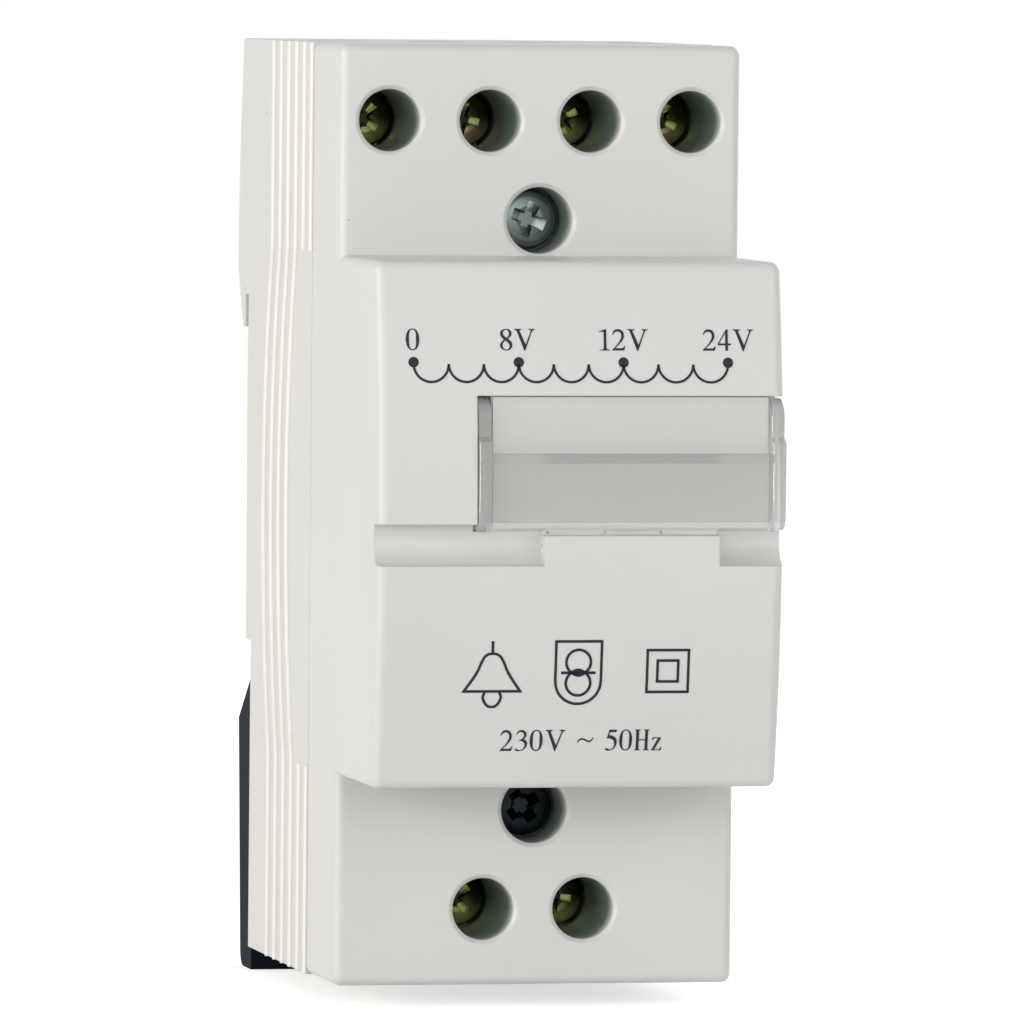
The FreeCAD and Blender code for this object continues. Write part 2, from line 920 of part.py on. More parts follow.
def coil_spring():
    seat = -size.peg_bottom + size.peg_height
    wire = size.spring_wire.number
    turns = size.spring_turns.number
    radius = (size.spring_diameter.number - wire) / 2
    rise = size.spring_length.number - wire
    helix = Part.makeHelix(rise / turns, rise, radius)
    ring = Part.Wire(Part.makeCircle(wire / 2, Vector(radius, 0, 0), Vector(0, 1, 0)))
    spring = doc.addObject("Part::Feature", "spring")
    spring.Shape = Part.Wire(helix).makePipeShell([ring], True, True)
    depth = heel + size.clip_gap + size.spring_diameter / 2
    spring.Placement = Placement(Vector(0, depth.number, seat.number + wire / 2), Rotation())
    return spring


node("clip_spring", coil_spring())


# Cover screws with a crossed recess
def crossed_screw(name, head, head_height, shank, start, length, x, z):
    under_head = start + head_height
    shank_span = (under_head - head_height / 2, under_head + length)
    blank = fuse(
        name + "_blank",
        [
            rod(name + "_head", head, "y", (start, under_head), x, 0, z),
            rod(name + "_shank", shank, "y", shank_span, x, 0, z),
        ],
    )
    arm = head / 2 - size.slot_width / 2
    half_slot = size.slot_width / 2
    depth = (start - PAST, start + size.slot_depth)
    tools = [
        box(name + "_slot", (x - arm, x + arm), depth, (z - half_slot, z + half_slot)),
        box(name + "_cross", (x - half_slot, x + half_slot), depth, (z - arm, z + arm)),
    ]
    return cut(name, blank, tools)


for name, end in (("upper", 1), ("lower", -1)):
    node(
        "cover_screw_" + name,
        crossed_screw(
            "cover_screw_" + name,
            size.cover_screw_head,
            size.cover_screw_head_height,
            size.cover_screw_shank,
            cover_seat - size.cover_screw_head_height,
            size.cover_screw_length,
            as_size(0),
            cover_screw_offset * end,
        ),
    )


# Rising-cage terminals
def terminal_cage(name, x, z):
    half = size.cage_width / 2
    inner = half - size.cage_side
    half_length = size.cage_length / 2
    frame = box(
        name + "_frame",
        (x - half, x + half),
        (cage_plate_front, cage_rear),
        (z - half_length, z + half_length),
    )
    room = (z - half_length - PAST, z + half_length + PAST)
    thread = size.screw_shank + 2 * size.thread_clearance
    thread_span = (cage_plate_front - PAST, bar_front)
    tools = [
        box(name + "_room", (x - inner, x + inner), (cage_plate_rear, cage_inner_back), room),
        rod(name + "_thread", thread, "y", thread_span, x, 0, z),
    ]
    return cut(name, frame, tools)


for name, pitches, end in TERMINALS:
    x = column(pitches)
    z = terminal_offset * end
    node(
        "terminal_screw_" + name,
        crossed_screw(
            "terminal_screw_" + name,
            size.screw_head,
            size.screw_head_height,
            size.screw_shank,
            head_front,
            size.screw_shank_length,
            x,
            z,
        ),
    )
    node("terminal_cage_" + name, terminal_cage("terminal_cage_" + name, x, z))
    half_bar = size.bar_width / 2
    bar_x = (x - half_bar, x + half_bar)
    bar_z = ends(bar_inner_end, inner_half_height - size.seat_clearance, end)
    bar = box("bar_" + name, bar_x, (bar_front, bar_back), bar_z)
    node("terminal_bar_" + name, bar)

# Laminated core: an E stack closed by an I stack
half_leg = size.centre_leg / 2
leg_front = core_front + size.outer_leg
window_back = core_back - size.outer_leg
window_top = half_core - size.outer_leg
stack_x = (-half_stack, half_stack)
core_z = (-half_core, half_core)
e_block = box("e_block", stack_x, (leg_front, core_back), core_z)
e_windows = []
for end in (1, -1):
    window_x = (-half_stack - PAST, half_stack + PAST)
    window_z = ends(half_leg, window_top, end)
    e_windows.append(box("e_window", window_x, (leg_front - PAST, window_back), window_z))
node("core_e_stack", cut("e_stack", e_block, e_windows))
node("core_i_stack", box("i_stack", stack_x, (core_front, leg_front), core_z))


# Two-chamber bobbin on the middle leg
def ring_block(name, inset, y, corner=None):
    """A block around the middle leg, the inset (x, z) measured from the leg."""
    x = half_stack + inset[0]
    z = half_leg + inset[1]
    block = box(name, (-x, x), y, (-z, z))
    if corner is None:
        return block
    doc.recompute()
    rounded = doc.addObject("Part::Fillet", name + "_rounded")
    rounded.Base = block
    long_edges = [
        i for i, edge in enumerate(block.Shape.Edges, 1)
        if abs(edge.tangentAt(edge.FirstParameter).y) > 0.9
    ]
    rounded.Edges = [(i, corner.number, corner.number) for i in long_edges]
    return rounded


def sleeve(name, inner, outer, y, outer_corner, inner_corner=None):
    hole = ring_block(name + "_hole", inner, (y[0] - PAST, y[1] + PAST), inner_corner)
    return cut(name, ring_block(name + "_block", outer, y, outer_corner), [hole])


def grown(inset, amount):
    return (inset[0] + amount, inset[1] + amount)


bobbin_back = window_back - size.flange_clearance
bobbin_front = leg_front + size.flange_clearance
leg_fit = (size.bobbin_clearance, size.bobbin_clearance)
tube_outer = grown(leg_fit, size.bobbin_wall)
flange_reach = (side_reach, window_top - half_leg - size.flange_clearance)
middle_depth = (bobbin_back + bobbin_front) / 2
flange_spans = [
    (bobbin_front, bobbin_front + size.flange),
    (middle_depth - size.flange / 2, middle_depth + size.flange / 2),
    (bobbin_back - size.flange, bobbin_back),
]
bobbin_blocks = [ring_block("bobbin_tube", tube_outer, (bobbin_front, bobbin_back))]
bobbin_blocks += [ring_block("bobbin_flange", flange_reach, span) for span in flange_spans]
leg_hole = ring_block("bobbin_hole", leg_fit, (bobbin_front - PAST, bobbin_back + PAST))
node("bobbin", cut("bobbin_piece", fuse("bobbin_full", bobbin_blocks), [leg_hole]))

winding_inner = grown(tube_outer, size.winding_fit)
tape_outer = grown(flange_reach, -size.flange_margin)
tape_inner = grown(tape_outer, -size.tape)
winding_outer = grown(tape_inner, -size.winding_fit)
chambers = {
    "secondary": (flange_spans[0][1] + size.winding_fit, flange_spans[1][0] - size.winding_fit),
    "primary": (flange_spans[1][1] + size.winding_fit, flange_spans[2][0] - size.winding_fit),
}
corner = size.winding_corner
for name, span in chambers.items():
    coil = sleeve(name + "_coil", winding_inner, winding_outer, span, corner)
    node(name + "_winding", coil)
    wrap = sleeve(name + "_wrap", tape_inner, tape_outer, span, corner + size.tape, corner)
    node(name + "_tape", wrap)

# Thermal link on the primary winding, beside the core
tape_top = half_leg + tape_outer[1]
link_x = half_stack + size.link_diameter / 2 + size.core_clearance * 2
link_z = -tape_top - size.link_diameter / 2
primary_middle = (chambers["primary"][0] + chambers["primary"][1]) / 2
link_back = primary_middle + size.link_length / 2
link_front = link_back - size.link_length
link = rod("link", size.link_diameter, "y", (link_front, link_back), link_x, 0, link_z)
node("thermal_link", link)


def lead(name, route):
    """An insulated lead: straight runs joined by tangent arcs."""
    points = [Vector(*[as_size(value).number for value in point]) for point in route]
    bend = size.lead_bend.number
    edges = []
    start = points[0]
    for i in range(1, len(points) - 1):
        back = (points[i - 1] - points[i]).normalize()
        ahead = (points[i + 1] - points[i]).normalize()
        turn = math.pi - back.getAngle(ahead)
        trim = bend * math.tan(turn / 2)
        entry = points[i] + back * trim
        leave = points[i] + ahead * trim
        middle_way = (back + ahead).normalize()
        inside = points[i] + middle_way * (bend / math.cos(turn / 2) - bend)
        edges.append(Part.LineSegment(start, entry).toShape())
        edges.append(Part.Arc(entry, inside, leave).toShape())
        start = leave
    edges.append(Part.LineSegment(start, points[-1]).toShape())
    path = Part.Wire(edges)
    direction = points[1] - points[0]
    radius = size.lead_diameter.number / 2
    ring = Part.Wire(Part.makeCircle(radius, points[0], direction))
    item = doc.addObject("Part::Feature", name)
    item.Shape = path.makePipeShell([ring], True, True)
    node(name, item)


# Leads run beside the core, then over it to the inner ends of the terminal bars
bar_middle = (bar_front + bar_back) / 2
secondary_middle = (chambers["secondary"][0] + chambers["secondary"][1]) / 2
beside_core = half_stack + size.wall + size.core_clearance + lead_gap
lead_spread = 2 * size.lead_diameter
for name, pitches, end in TERMINALS[:4]:
    start_x = beside_core if pitches > 0 else -beside_core
    start_y = secondary_middle + (lead_spread if abs(pitches) > 1 else -lead_spread)
    lead(
        "secondary_lead_" + name,
        [
            (start_x, start_y, tape_top),
            (start_x, start_y, over_core),
            (column(pitches), bar_middle, over_core + size.lead_diameter / 2),
            (column(pitches), bar_middle, bar_inner_end),
        ],
    )
live_x = column(TERMINALS[4][1])
lead(
    "primary_lead_live",
    [
        (-beside_core, primary_middle, -tape_top),
        (-beside_core, primary_middle, -over_core),
        (live_x, bar_middle, -over_core - size.lead_diameter / 2),
        (live_x, bar_middle, -bar_inner_end),
    ],
)
neutral_x = column(TERMINALS[5][1])
link_out = link_front - 2 * size.lead_bend
lead(
    "primary_lead_neutral",
    [
        (link_x, link_front, link_z),
        (link_x, link_out, link_z),
        (link_x, link_out, -over_core),
        (neutral_x, bar_middle, -over_core - size.lead_diameter / 2),
        (neutral_x, bar_middle, -bar_inner_end),
    ],
)
link_in = bobbin_back + 2 * size.lead_bend
link_rise = link_z + 4 * size.lead_bend
lead(
    "thermal_link_lead",
    [
        (link_x, link_back, link_z),
        (link_x, link_in, link_z),
        (link_x, link_in, link_rise),
        (link_x, bobbin_back, link_rise),
    ],
)

# Every object is sound, and every cut takes something away, before anything is written
doc.recompute()


def fault(item):
    if "Invalid" in item.State or "Error" in item.State:
        return f"state {item.State}"
    if item.TypeId == "Part::Cut":
        if item.Shape.isNull() or item.Base.Shape.isNull():
            return "is empty"
        if item.Shape.Volume > item.Base.Shape.Volume - 1e-6:
            return "cuts nothing"
    if item in nodes:
        if item.Shape.isNull() or not item.Shape.isValid():
            return "is no sound shape"
        if len(item.Shape.Solids) != 1:
            return f"has {len(item.Shape.Solids)} solids"
    return None


faults = [f"{item.Label} {fault(item)}" for item in doc.Objects if fault(item)]
if faults:
    raise RuntimeError("; ".join(faults))

os.makedirs("parts", exist_ok=True)
for item in nodes:
    item.Shape.exportStep(f"parts/{item.Label}.step")
print(len(nodes), "nodes written")
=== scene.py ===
import json
import math

import bmesh
import bpy
from mathutils import Matrix, Vector


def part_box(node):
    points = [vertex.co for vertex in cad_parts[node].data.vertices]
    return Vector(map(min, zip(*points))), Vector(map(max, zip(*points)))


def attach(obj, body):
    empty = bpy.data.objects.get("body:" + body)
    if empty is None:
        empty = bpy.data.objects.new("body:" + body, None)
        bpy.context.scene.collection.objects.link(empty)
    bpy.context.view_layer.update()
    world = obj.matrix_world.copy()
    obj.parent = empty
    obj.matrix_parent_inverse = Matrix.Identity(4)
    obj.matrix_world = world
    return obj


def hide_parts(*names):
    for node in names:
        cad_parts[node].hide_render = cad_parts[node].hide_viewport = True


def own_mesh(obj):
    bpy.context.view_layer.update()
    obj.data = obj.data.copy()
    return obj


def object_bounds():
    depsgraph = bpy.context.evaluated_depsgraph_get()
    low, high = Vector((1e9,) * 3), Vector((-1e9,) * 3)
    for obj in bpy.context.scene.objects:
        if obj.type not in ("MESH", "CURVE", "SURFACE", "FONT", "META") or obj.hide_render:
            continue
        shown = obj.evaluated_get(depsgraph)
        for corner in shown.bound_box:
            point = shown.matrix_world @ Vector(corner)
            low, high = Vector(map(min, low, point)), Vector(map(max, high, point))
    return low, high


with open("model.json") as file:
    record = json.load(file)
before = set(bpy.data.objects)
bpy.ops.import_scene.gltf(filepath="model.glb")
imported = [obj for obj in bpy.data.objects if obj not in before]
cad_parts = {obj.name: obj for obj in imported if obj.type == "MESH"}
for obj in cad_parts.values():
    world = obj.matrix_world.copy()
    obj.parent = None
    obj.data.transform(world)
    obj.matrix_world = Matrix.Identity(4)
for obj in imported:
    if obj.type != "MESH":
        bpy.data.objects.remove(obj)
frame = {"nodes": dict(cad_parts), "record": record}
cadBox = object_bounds()
nodes = frame["nodes"]
scene = bpy.context.scene
mm = 0.001  # the frame is in metres, sizes below are in millimetres
joinWithin = 0.002  # mm, points closer than this become one
print("frame loaded:", len(nodes), "nodes")


# Helpers

def linear(hexColour):  # sRGB hex to linear RGBA
    channels = [int(hexColour[i:i + 2], 16) / 255 for i in (1, 3, 5)]
    bent = [c / 12.92 if c <= 0.04045 else ((c + 0.055) / 1.055) ** 2.4 for c in channels]
    return (*bent, 1.0)


def addNode(tree, kind, settings=None, values=None, links=None):
    node = tree.nodes.new(kind)
    for key, value in (settings or {}).items():
        setattr(node, key, value)
    for key, value in (values or {}).items():
        node.inputs[key].default_value = value
    for key, source in (links or {}).items():
        tree.links.new(source, node.inputs[key])
    return node


def startMaterial(name, values):  # a new material, its tree, its shader and Object coordinates
    material = bpy.data.materials.new(name)
    material.use_nodes = True
    tree = material.node_tree
    shader = tree.nodes["Principled BSDF"]
    for key, value in values.items():
        shader.inputs[key].default_value = value
    place = addNode(tree, "ShaderNodeTexCoord").outputs["Object"]
    return material, tree, shader, place


def perMetre(sizeMm):  # a texture scale from the real size of one feature
    return 1 / (sizeMm * mm)


def meshObject(name, bm):
    mesh = bpy.data.meshes.new(name)
    bm.to_mesh(mesh)
    bm.free()
    item = bpy.data.objects.new(name, mesh)
    scene.collection.objects.link(item)
    return item


def newPiece(name, bm, material, body):
    piece = meshObject(name, bm)
    piece.data.materials.append(material)
    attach(piece, body)
    return piece


def finishedMesh(item):  # the mesh of an object with its modifiers applied
    bpy.context.view_layer.update()
    return bpy.data.meshes.new_from_object(item.evaluated_get(bpy.context.evaluated_depsgraph_get()))


def combined(name, first, others, operation):  # the mesh of one shape joined with others or cut by them
    whole = meshObject(name, first)
    tools = [meshObject(name + "_tool", other) for other in others]
    for item in (whole, *tools):  # two empty slots, so that faces keep their material's number
        item.data.materials.append(None)
        item.data.materials.append(None)
    for tool in tools:
        step = whole.modifiers.new(tool.name, "BOOLEAN")
        step.object = tool
        step.operation = operation
        step.solver = "EXACT"
        step.use_self = True
    mesh = finishedMesh(whole)
    for item in (whole, *tools):
        bpy.data.objects.remove(item)
    return mesh


# Materials

colourMix = {"data_type": "RGBA"}
smoothStep = {"interpolation_type": "SMOOTHSTEP"}
metal = {"Metallic": 1.0}
specks = [  # small dark specks on the housing: place in mm, radius in mm
    ((-3.3, -59.6, -1.7), 0.24),
    ((-3.1, -60.4, -3.0), 0.2),
    ((-17.7, -8.0, 37.9), 0.14),
    ((-17.7, -8.0, 34.2), 0.15),
    ((-16.9, -42.6, 25.6), 0.08),
    ((-16.5, -60.2, 21.6), 0.10),
    ((-12.9, -60.3, 21.3), 0.12),
]
terminalPlaces = {  # x and z of each terminal screw in mm
    "0v": (-13.305, 34.2),
    "8v": (-4.435, 34.2),
    "12v": (4.435, 34.2),
    "24v": (13.305, 34.2),
    "live": (-4.435, -34.2),
    "neutral": (4.435, -34.2),
}
coverScrewPlaces = {"upper": (0.0, 25.6), "lower": (0.0, -25.6)}
ridgePaintedHighlight = {  # painted highlight on the raised lines on the sides, distances from the middle
    "from": 17.71,
    "full": 17.8,
    "colour": "#f3f0ea",
}
boreShade = {  # painted shade inside the tubes behind the holes, darker from the mouth inwards
    "driverRadius": 2.7,
    "coverRadius": 2.9,
    "mouth": -42.4,  # y where the shade starts
    "deep": -40.4,
    "end": -30.0,  # y behind the tubes, where the shade stops
    "margin": 0.1,
    "colour": "#a0ada8",
}


def mouldedAbs():  # off-white ABS, spark-eroded mould: satin, faintly uneven, soft edges, painted highlight on the side ridges, painted shade in the tubes
    material, tree, shader, place = startMaterial("mouldedAbs", {"IOR": 1.53})
    cloud = addNode(tree, "ShaderNodeTexNoise", values={"Scale": perMetre(14), "Detail": 2.0},
                    links={"Vector": place})
    colour = addNode(tree, "ShaderNodeMix", colourMix, {6: linear("#d5d6d3"), 7: linear("#dbdbd8")},
                     {0: cloud.outputs["Fac"]}).outputs[2]
    for spot, radius in specks:
        away = addNode(tree, "ShaderNodeVectorMath", {"operation": "DISTANCE"}, {1: Vector(spot) * mm},
                       {0: place})
        fade = addNode(tree, "ShaderNodeMapRange", smoothStep,
                       {"From Min": radius / 2 * mm, "From Max": radius * mm, "To Min": 0.8, "To Max": 0.0},
                       {"Value": away.outputs["Value"]})
        colour = addNode(tree, "ShaderNodeMix", colourMix, {7: linear("#4a3f33")},
                         {0: fade.outputs["Result"], 6: colour}).outputs[2]
    axes = addNode(tree, "ShaderNodeSeparateXYZ", links={0: place})
    # painted highlight: the raised lines on the sides are made lighter
    side = addNode(tree, "ShaderNodeMath", {"operation": "ABSOLUTE"}, links={0: axes.outputs["X"]})
    proud = addNode(tree, "ShaderNodeMapRange",
                    values={"From Min": ridgePaintedHighlight["from"] * mm, "From Max": ridgePaintedHighlight["full"] * mm},
                    links={"Value": side.outputs[0]})
    colour = addNode(tree, "ShaderNodeMix", colourMix, {7: linear(ridgePaintedHighlight["colour"])},
                     {0: proud.outputs["Result"], 6: colour}).outputs[2]
    # painted shade inside the tubes behind the holes
    flat = addNode(tree, "ShaderNodeVectorMath", {"operation": "MULTIPLY"}, {1: (1, 0, 1)}, {0: place})
    bores = [(spot, boreShade["driverRadius"]) for spot in terminalPlaces.values()]
    bores += [(spot, boreShade["coverRadius"]) for spot in coverScrewPlaces.values()]
    within = []
    for (x, z), radius in bores:
        away = addNode(tree, "ShaderNodeVectorMath", {"operation": "DISTANCE"}, {1: Vector((x, 0, z)) * mm},
                       {0: flat.outputs[0]})
        near = addNode(tree, "ShaderNodeMath", {"operation": "LESS_THAN"},
                       {1: (radius + boreShade["margin"]) * mm}, {0: away.outputs["Value"]})
        within.append(near.outputs[0])
    shade = within[0]
    for near in within[1:]:
        shade = addNode(tree, "ShaderNodeMath", {"operation": "MAXIMUM"},
                        links={0: shade, 1: near}).outputs[0]
    depth = addNode(tree, "ShaderNodeMapRange",
                    values={"From Min": boreShade["mouth"] * mm, "From Max": boreShade["deep"] * mm},
                    links={"Value": axes.outputs["Y"]})
    tube = addNode(tree, "ShaderNodeMath", {"operation": "LESS_THAN"}, {1: boreShade["end"] * mm},
                   {0: axes.outputs["Y"]})
    for limit in (tube.outputs[0], depth.outputs["Result"]):
        shade = addNode(tree, "ShaderNodeMath", {"operation": "MULTIPLY"},
                        links={0: shade, 1: limit}).outputs[0]
    dim = addNode(tree, "ShaderNodeMix", colourMix, {7: linear(boreShade["colour"])}, {0: shade, 6: colour})
    tree.links.new(dim.outputs[2], shader.inputs["Base Color"])
    grain = addNode(tree, "ShaderNodeTexNoise", values={"Scale": perMetre(0.3), "Detail": 3.0},
                    links={"Vector": place})
    gloss = addNode(tree, "ShaderNodeMapRange", values={"To Min": 0.36, "To Max": 0.5},
                    links={"Value": grain.outputs["Fac"]})
    tree.links.new(gloss.outputs["Result"], shader.inputs["Roughness"])
    edges = addNode(tree, "ShaderNodeBevel", {"samples": 6}, {"Radius": 0.22 * mm})
    bump = addNode(tree, "ShaderNodeBump", values={"Strength": 0.12, "Distance": 0.02 * mm},
                   links={"Height": grain.outputs["Fac"], "Normal": edges.outputs["Normal"]})
    tree.links.new(bump.outputs["Normal"], shader.inputs["Normal"])
    return material


flapTintAndPaintedLight = {  # tints with painted shade and highlight, and places on the flap in mm: the thick bar along its top, the lip along its foot, the arms
    # grey of the plate, partly painted shade on the card behind it
    "plain": "#d9dad9",
    # painted shade along the middle of the top bar
    "bar": "#c9cbcb",
    # painted highlight along the lip
    "lip": "#e6e7e8",
    "middle": 4.375,
    "barHalf": (7.0, 8.6),  # the bar is darkest up to the first distance from the middle
    "barFrom": 5.4,
    "lipTo": 0.4,
    "armFrom": 12.22,
    "barEdge": 0.05,  # width of the change from one tint to the next
    "lipEdge": 0.1,
    "armEdge": 0.1,
    "plateThrough": 0.95,  # share of the light that goes through
    "armThrough": 0.6,
}


# clear moulded polycarbonate: glassy, grey partly as painted shade, painted shade along the top bar's
# middle, a painted highlight along the lip, milky arms, hazy from handling
def clearPolycarbonate():
    material, tree, shader, place = startMaterial("clearPolycarbonate", {"IOR": 1.585})
    tint = flapTintAndPaintedLight
    axes = addNode(tree, "ShaderNodeSeparateXYZ", links={0: place})
    shifted = addNode(tree, "ShaderNodeMath", {"operation": "SUBTRACT"}, {1: tint["middle"] * mm},
                      {0: axes.outputs["X"]})
    away = addNode(tree, "ShaderNodeMath", {"operation": "ABSOLUTE"}, links={0: shifted.outputs[0]})
    # painted shade along the middle of the top bar, fading towards its ends
    inner, outer = tint["barHalf"]
    along = addNode(tree, "ShaderNodeMapRange", smoothStep,
                    {"From Min": inner * mm, "From Max": outer * mm, "To Min": 1.0, "To Max": 0.1},
                    {"Value": away.outputs[0]})
    above = addNode(tree, "ShaderNodeMapRange",
                    values={"From Min": (tint["barFrom"] - tint["barEdge"]) * mm,
                            "From Max": tint["barFrom"] * mm},
                    links={"Value": axes.outputs["Z"]})
    barShadeMask = addNode(tree, "ShaderNodeMath", {"operation": "MULTIPLY"},
                    links={0: along.outputs["Result"], 1: above.outputs["Result"]})
    bar = addNode(tree, "ShaderNodeMix", colourMix, {6: linear(tint["plain"]), 7: linear(tint["bar"])},
                  {0: barShadeMask.outputs[0]})
    # painted highlight along the lip
    below = addNode(tree, "ShaderNodeMapRange",
                    values={"From Min": (tint["lipTo"] - tint["lipEdge"]) * mm,
                            "From Max": tint["lipTo"] * mm, "To Min": 1.0, "To Max": 0.0},
                    links={"Value": axes.outputs["Z"]})
    lip = addNode(tree, "ShaderNodeMix", colourMix, {7: linear(tint["lip"])},
                  {0: below.outputs["Result"], 6: bar.outputs[2]})
    tree.links.new(lip.outputs[2], shader.inputs["Base Color"])
    arm = addNode(tree, "ShaderNodeMapRange",
                  values={"From Min": tint["armFrom"] * mm,
                          "From Max": (tint["armFrom"] + tint["armEdge"]) * mm,
                          "To Min": tint["plateThrough"], "To Max": tint["armThrough"]},
                  links={"Value": away.outputs[0]})
    tree.links.new(arm.outputs["Result"], shader.inputs["Transmission Weight"])
    haze = addNode(tree, "ShaderNodeTexNoise", values={"Scale": perMetre(6), "Detail": 4.0},
                   links={"Vector": place})
    gloss = addNode(tree, "ShaderNodeMapRange", values={"To Min": 0.0, "To Max": 0.06},
                    links={"Value": haze.outputs["Fac"]})
    tree.links.new(gloss.outputs["Result"], shader.inputs["Roughness"])
    rays = addNode(tree, "ShaderNodeLightPath")
    clear = addNode(tree, "ShaderNodeBsdfTransparent", values={"Color": linear("#e3e5e3")})
    both = addNode(tree, "ShaderNodeMixShader",  # lamps reach the card behind it
                   links={0: rays.outputs["Is Shadow Ray"], 1: shader.outputs[0], 2: clear.outputs[0]})
    tree.links.new(both.outputs[0], tree.nodes["Material Output"].inputs["Surface"])
    return material


def plainSurface(name, dark, light, grainMm, roughness, values, bumpMm=0.01, bands=None):
    # a material whose colour drifts between two tones and whose gloss follows a grain
    # bands gives an axis and a spacing in mm for edges of sheets or turns of wire
    material, tree, shader, place = startMaterial(name, values)
    grain = addNode(tree, "ShaderNodeTexNoise", values={"Scale": perMetre(grainMm), "Detail": 4.0},
                    links={"Vector": place})
    if bands:
        waves = 20 / math.tau  # bands of a wave texture in one unit at scale 1
        grain = addNode(tree, "ShaderNodeTexWave", {"bands_direction": bands[0], "wave_profile": "SIN"},
                        {"Scale": perMetre(bands[1]) / waves, "Distortion": 0.6, "Detail": 2.0,
                         "Detail Scale": 0.3}, {"Vector": place})
    tone = addNode(tree, "ShaderNodeMix", colourMix, {6: linear(dark), 7: linear(light)},
                   {0: grain.outputs["Fac"]})
    tree.links.new(tone.outputs[2], shader.inputs["Base Color"])
    gloss = addNode(tree, "ShaderNodeMapRange", values={"To Min": roughness[0], "To Max": roughness[1]},
                    links={"Value": grain.outputs["Fac"]})
    tree.links.new(gloss.outputs["Result"], shader.inputs["Roughness"])
    bump = addNode(tree, "ShaderNodeBump", values={"Strength": 0.3, "Distance": bumpMm * mm},
                   links={"Height": grain.outputs["Fac"]})
    tree.links.new(bump.outputs["Normal"], shader.inputs["Normal"])
    return material


screwPaintedShade = {  # painted shade at the bottom of the terminal screws' recesses and over the upper half of each head
    "recessFrom": -30.35,  # y in mm
    "recessFull": -29.85,
    "from": -1.3,  # z in mm from the screw's middle
    "full": 0.4,
    "share": 0.9,
    "colour": "#2c3322",
}
rowSpacing = terminalPlaces["0v"][1] - terminalPlaces["live"][1]


# yellow passivated zinc on steel: glossy, drifts from green to pink, with painted shade deep in the
# recesses and over the upper half of each head
def yellowZinc():
    material, tree, shader, place = startMaterial("yellowZinc", metal)
    drift = addNode(tree, "ShaderNodeTexNoise", values={"Scale": perMetre(2.2), "Detail": 3.0},
                    links={"Vector": place})
    film = addNode(tree, "ShaderNodeValToRGB", links={"Fac": drift.outputs["Fac"]})
    for spot, shade in ((0.35, "#b9c864"), (0.5, "#dcdc8c"), (0.66, "#dcaa90")):
        stop = film.color_ramp.elements.new(spot)
        stop.color = linear(shade)
    film.color_ramp.elements.remove(film.color_ramp.elements[0])
    film.color_ramp.elements.remove(film.color_ramp.elements[-1])
    # painted shade: dark deep in the recess and on the upper half of each head
    axes = addNode(tree, "ShaderNodeSeparateXYZ", links={0: place})
    deep = addNode(tree, "ShaderNodeMapRange",
                   values={"From Min": screwPaintedShade["recessFrom"] * mm,
                           "From Max": screwPaintedShade["recessFull"] * mm},
                   links={"Value": axes.outputs["Y"]})
    above = addNode(tree, "ShaderNodeMath", {"operation": "FLOORED_MODULO"}, {1: rowSpacing * mm},
                    {0: axes.outputs["Z"]})
    half = rowSpacing / 2
    upperShade = addNode(tree, "ShaderNodeMapRange", smoothStep,
                     {"From Min": (half + screwPaintedShade["from"]) * mm,
                      "From Max": (half + screwPaintedShade["full"]) * mm, "To Max": screwPaintedShade["share"]},
                     {"Value": above.outputs[0]})
    shadeMask = addNode(tree, "ShaderNodeMath", {"operation": "MAXIMUM"},
                   links={0: deep.outputs["Result"], 1: upperShade.outputs["Result"]})
    shadedFilm = addNode(tree, "ShaderNodeMix", colourMix, {7: linear(screwPaintedShade["colour"])},
                    {0: shadeMask.outputs[0], 6: film.outputs["Color"]})
    tree.links.new(shadedFilm.outputs[2], shader.inputs["Base Color"])
    gloss = addNode(tree, "ShaderNodeMapRange", values={"To Min": 0.12, "To Max": 0.3},
                    links={"Value": drift.outputs["Fac"]})
    tree.links.new(gloss.outputs["Result"], shader.inputs["Roughness"])
    return material


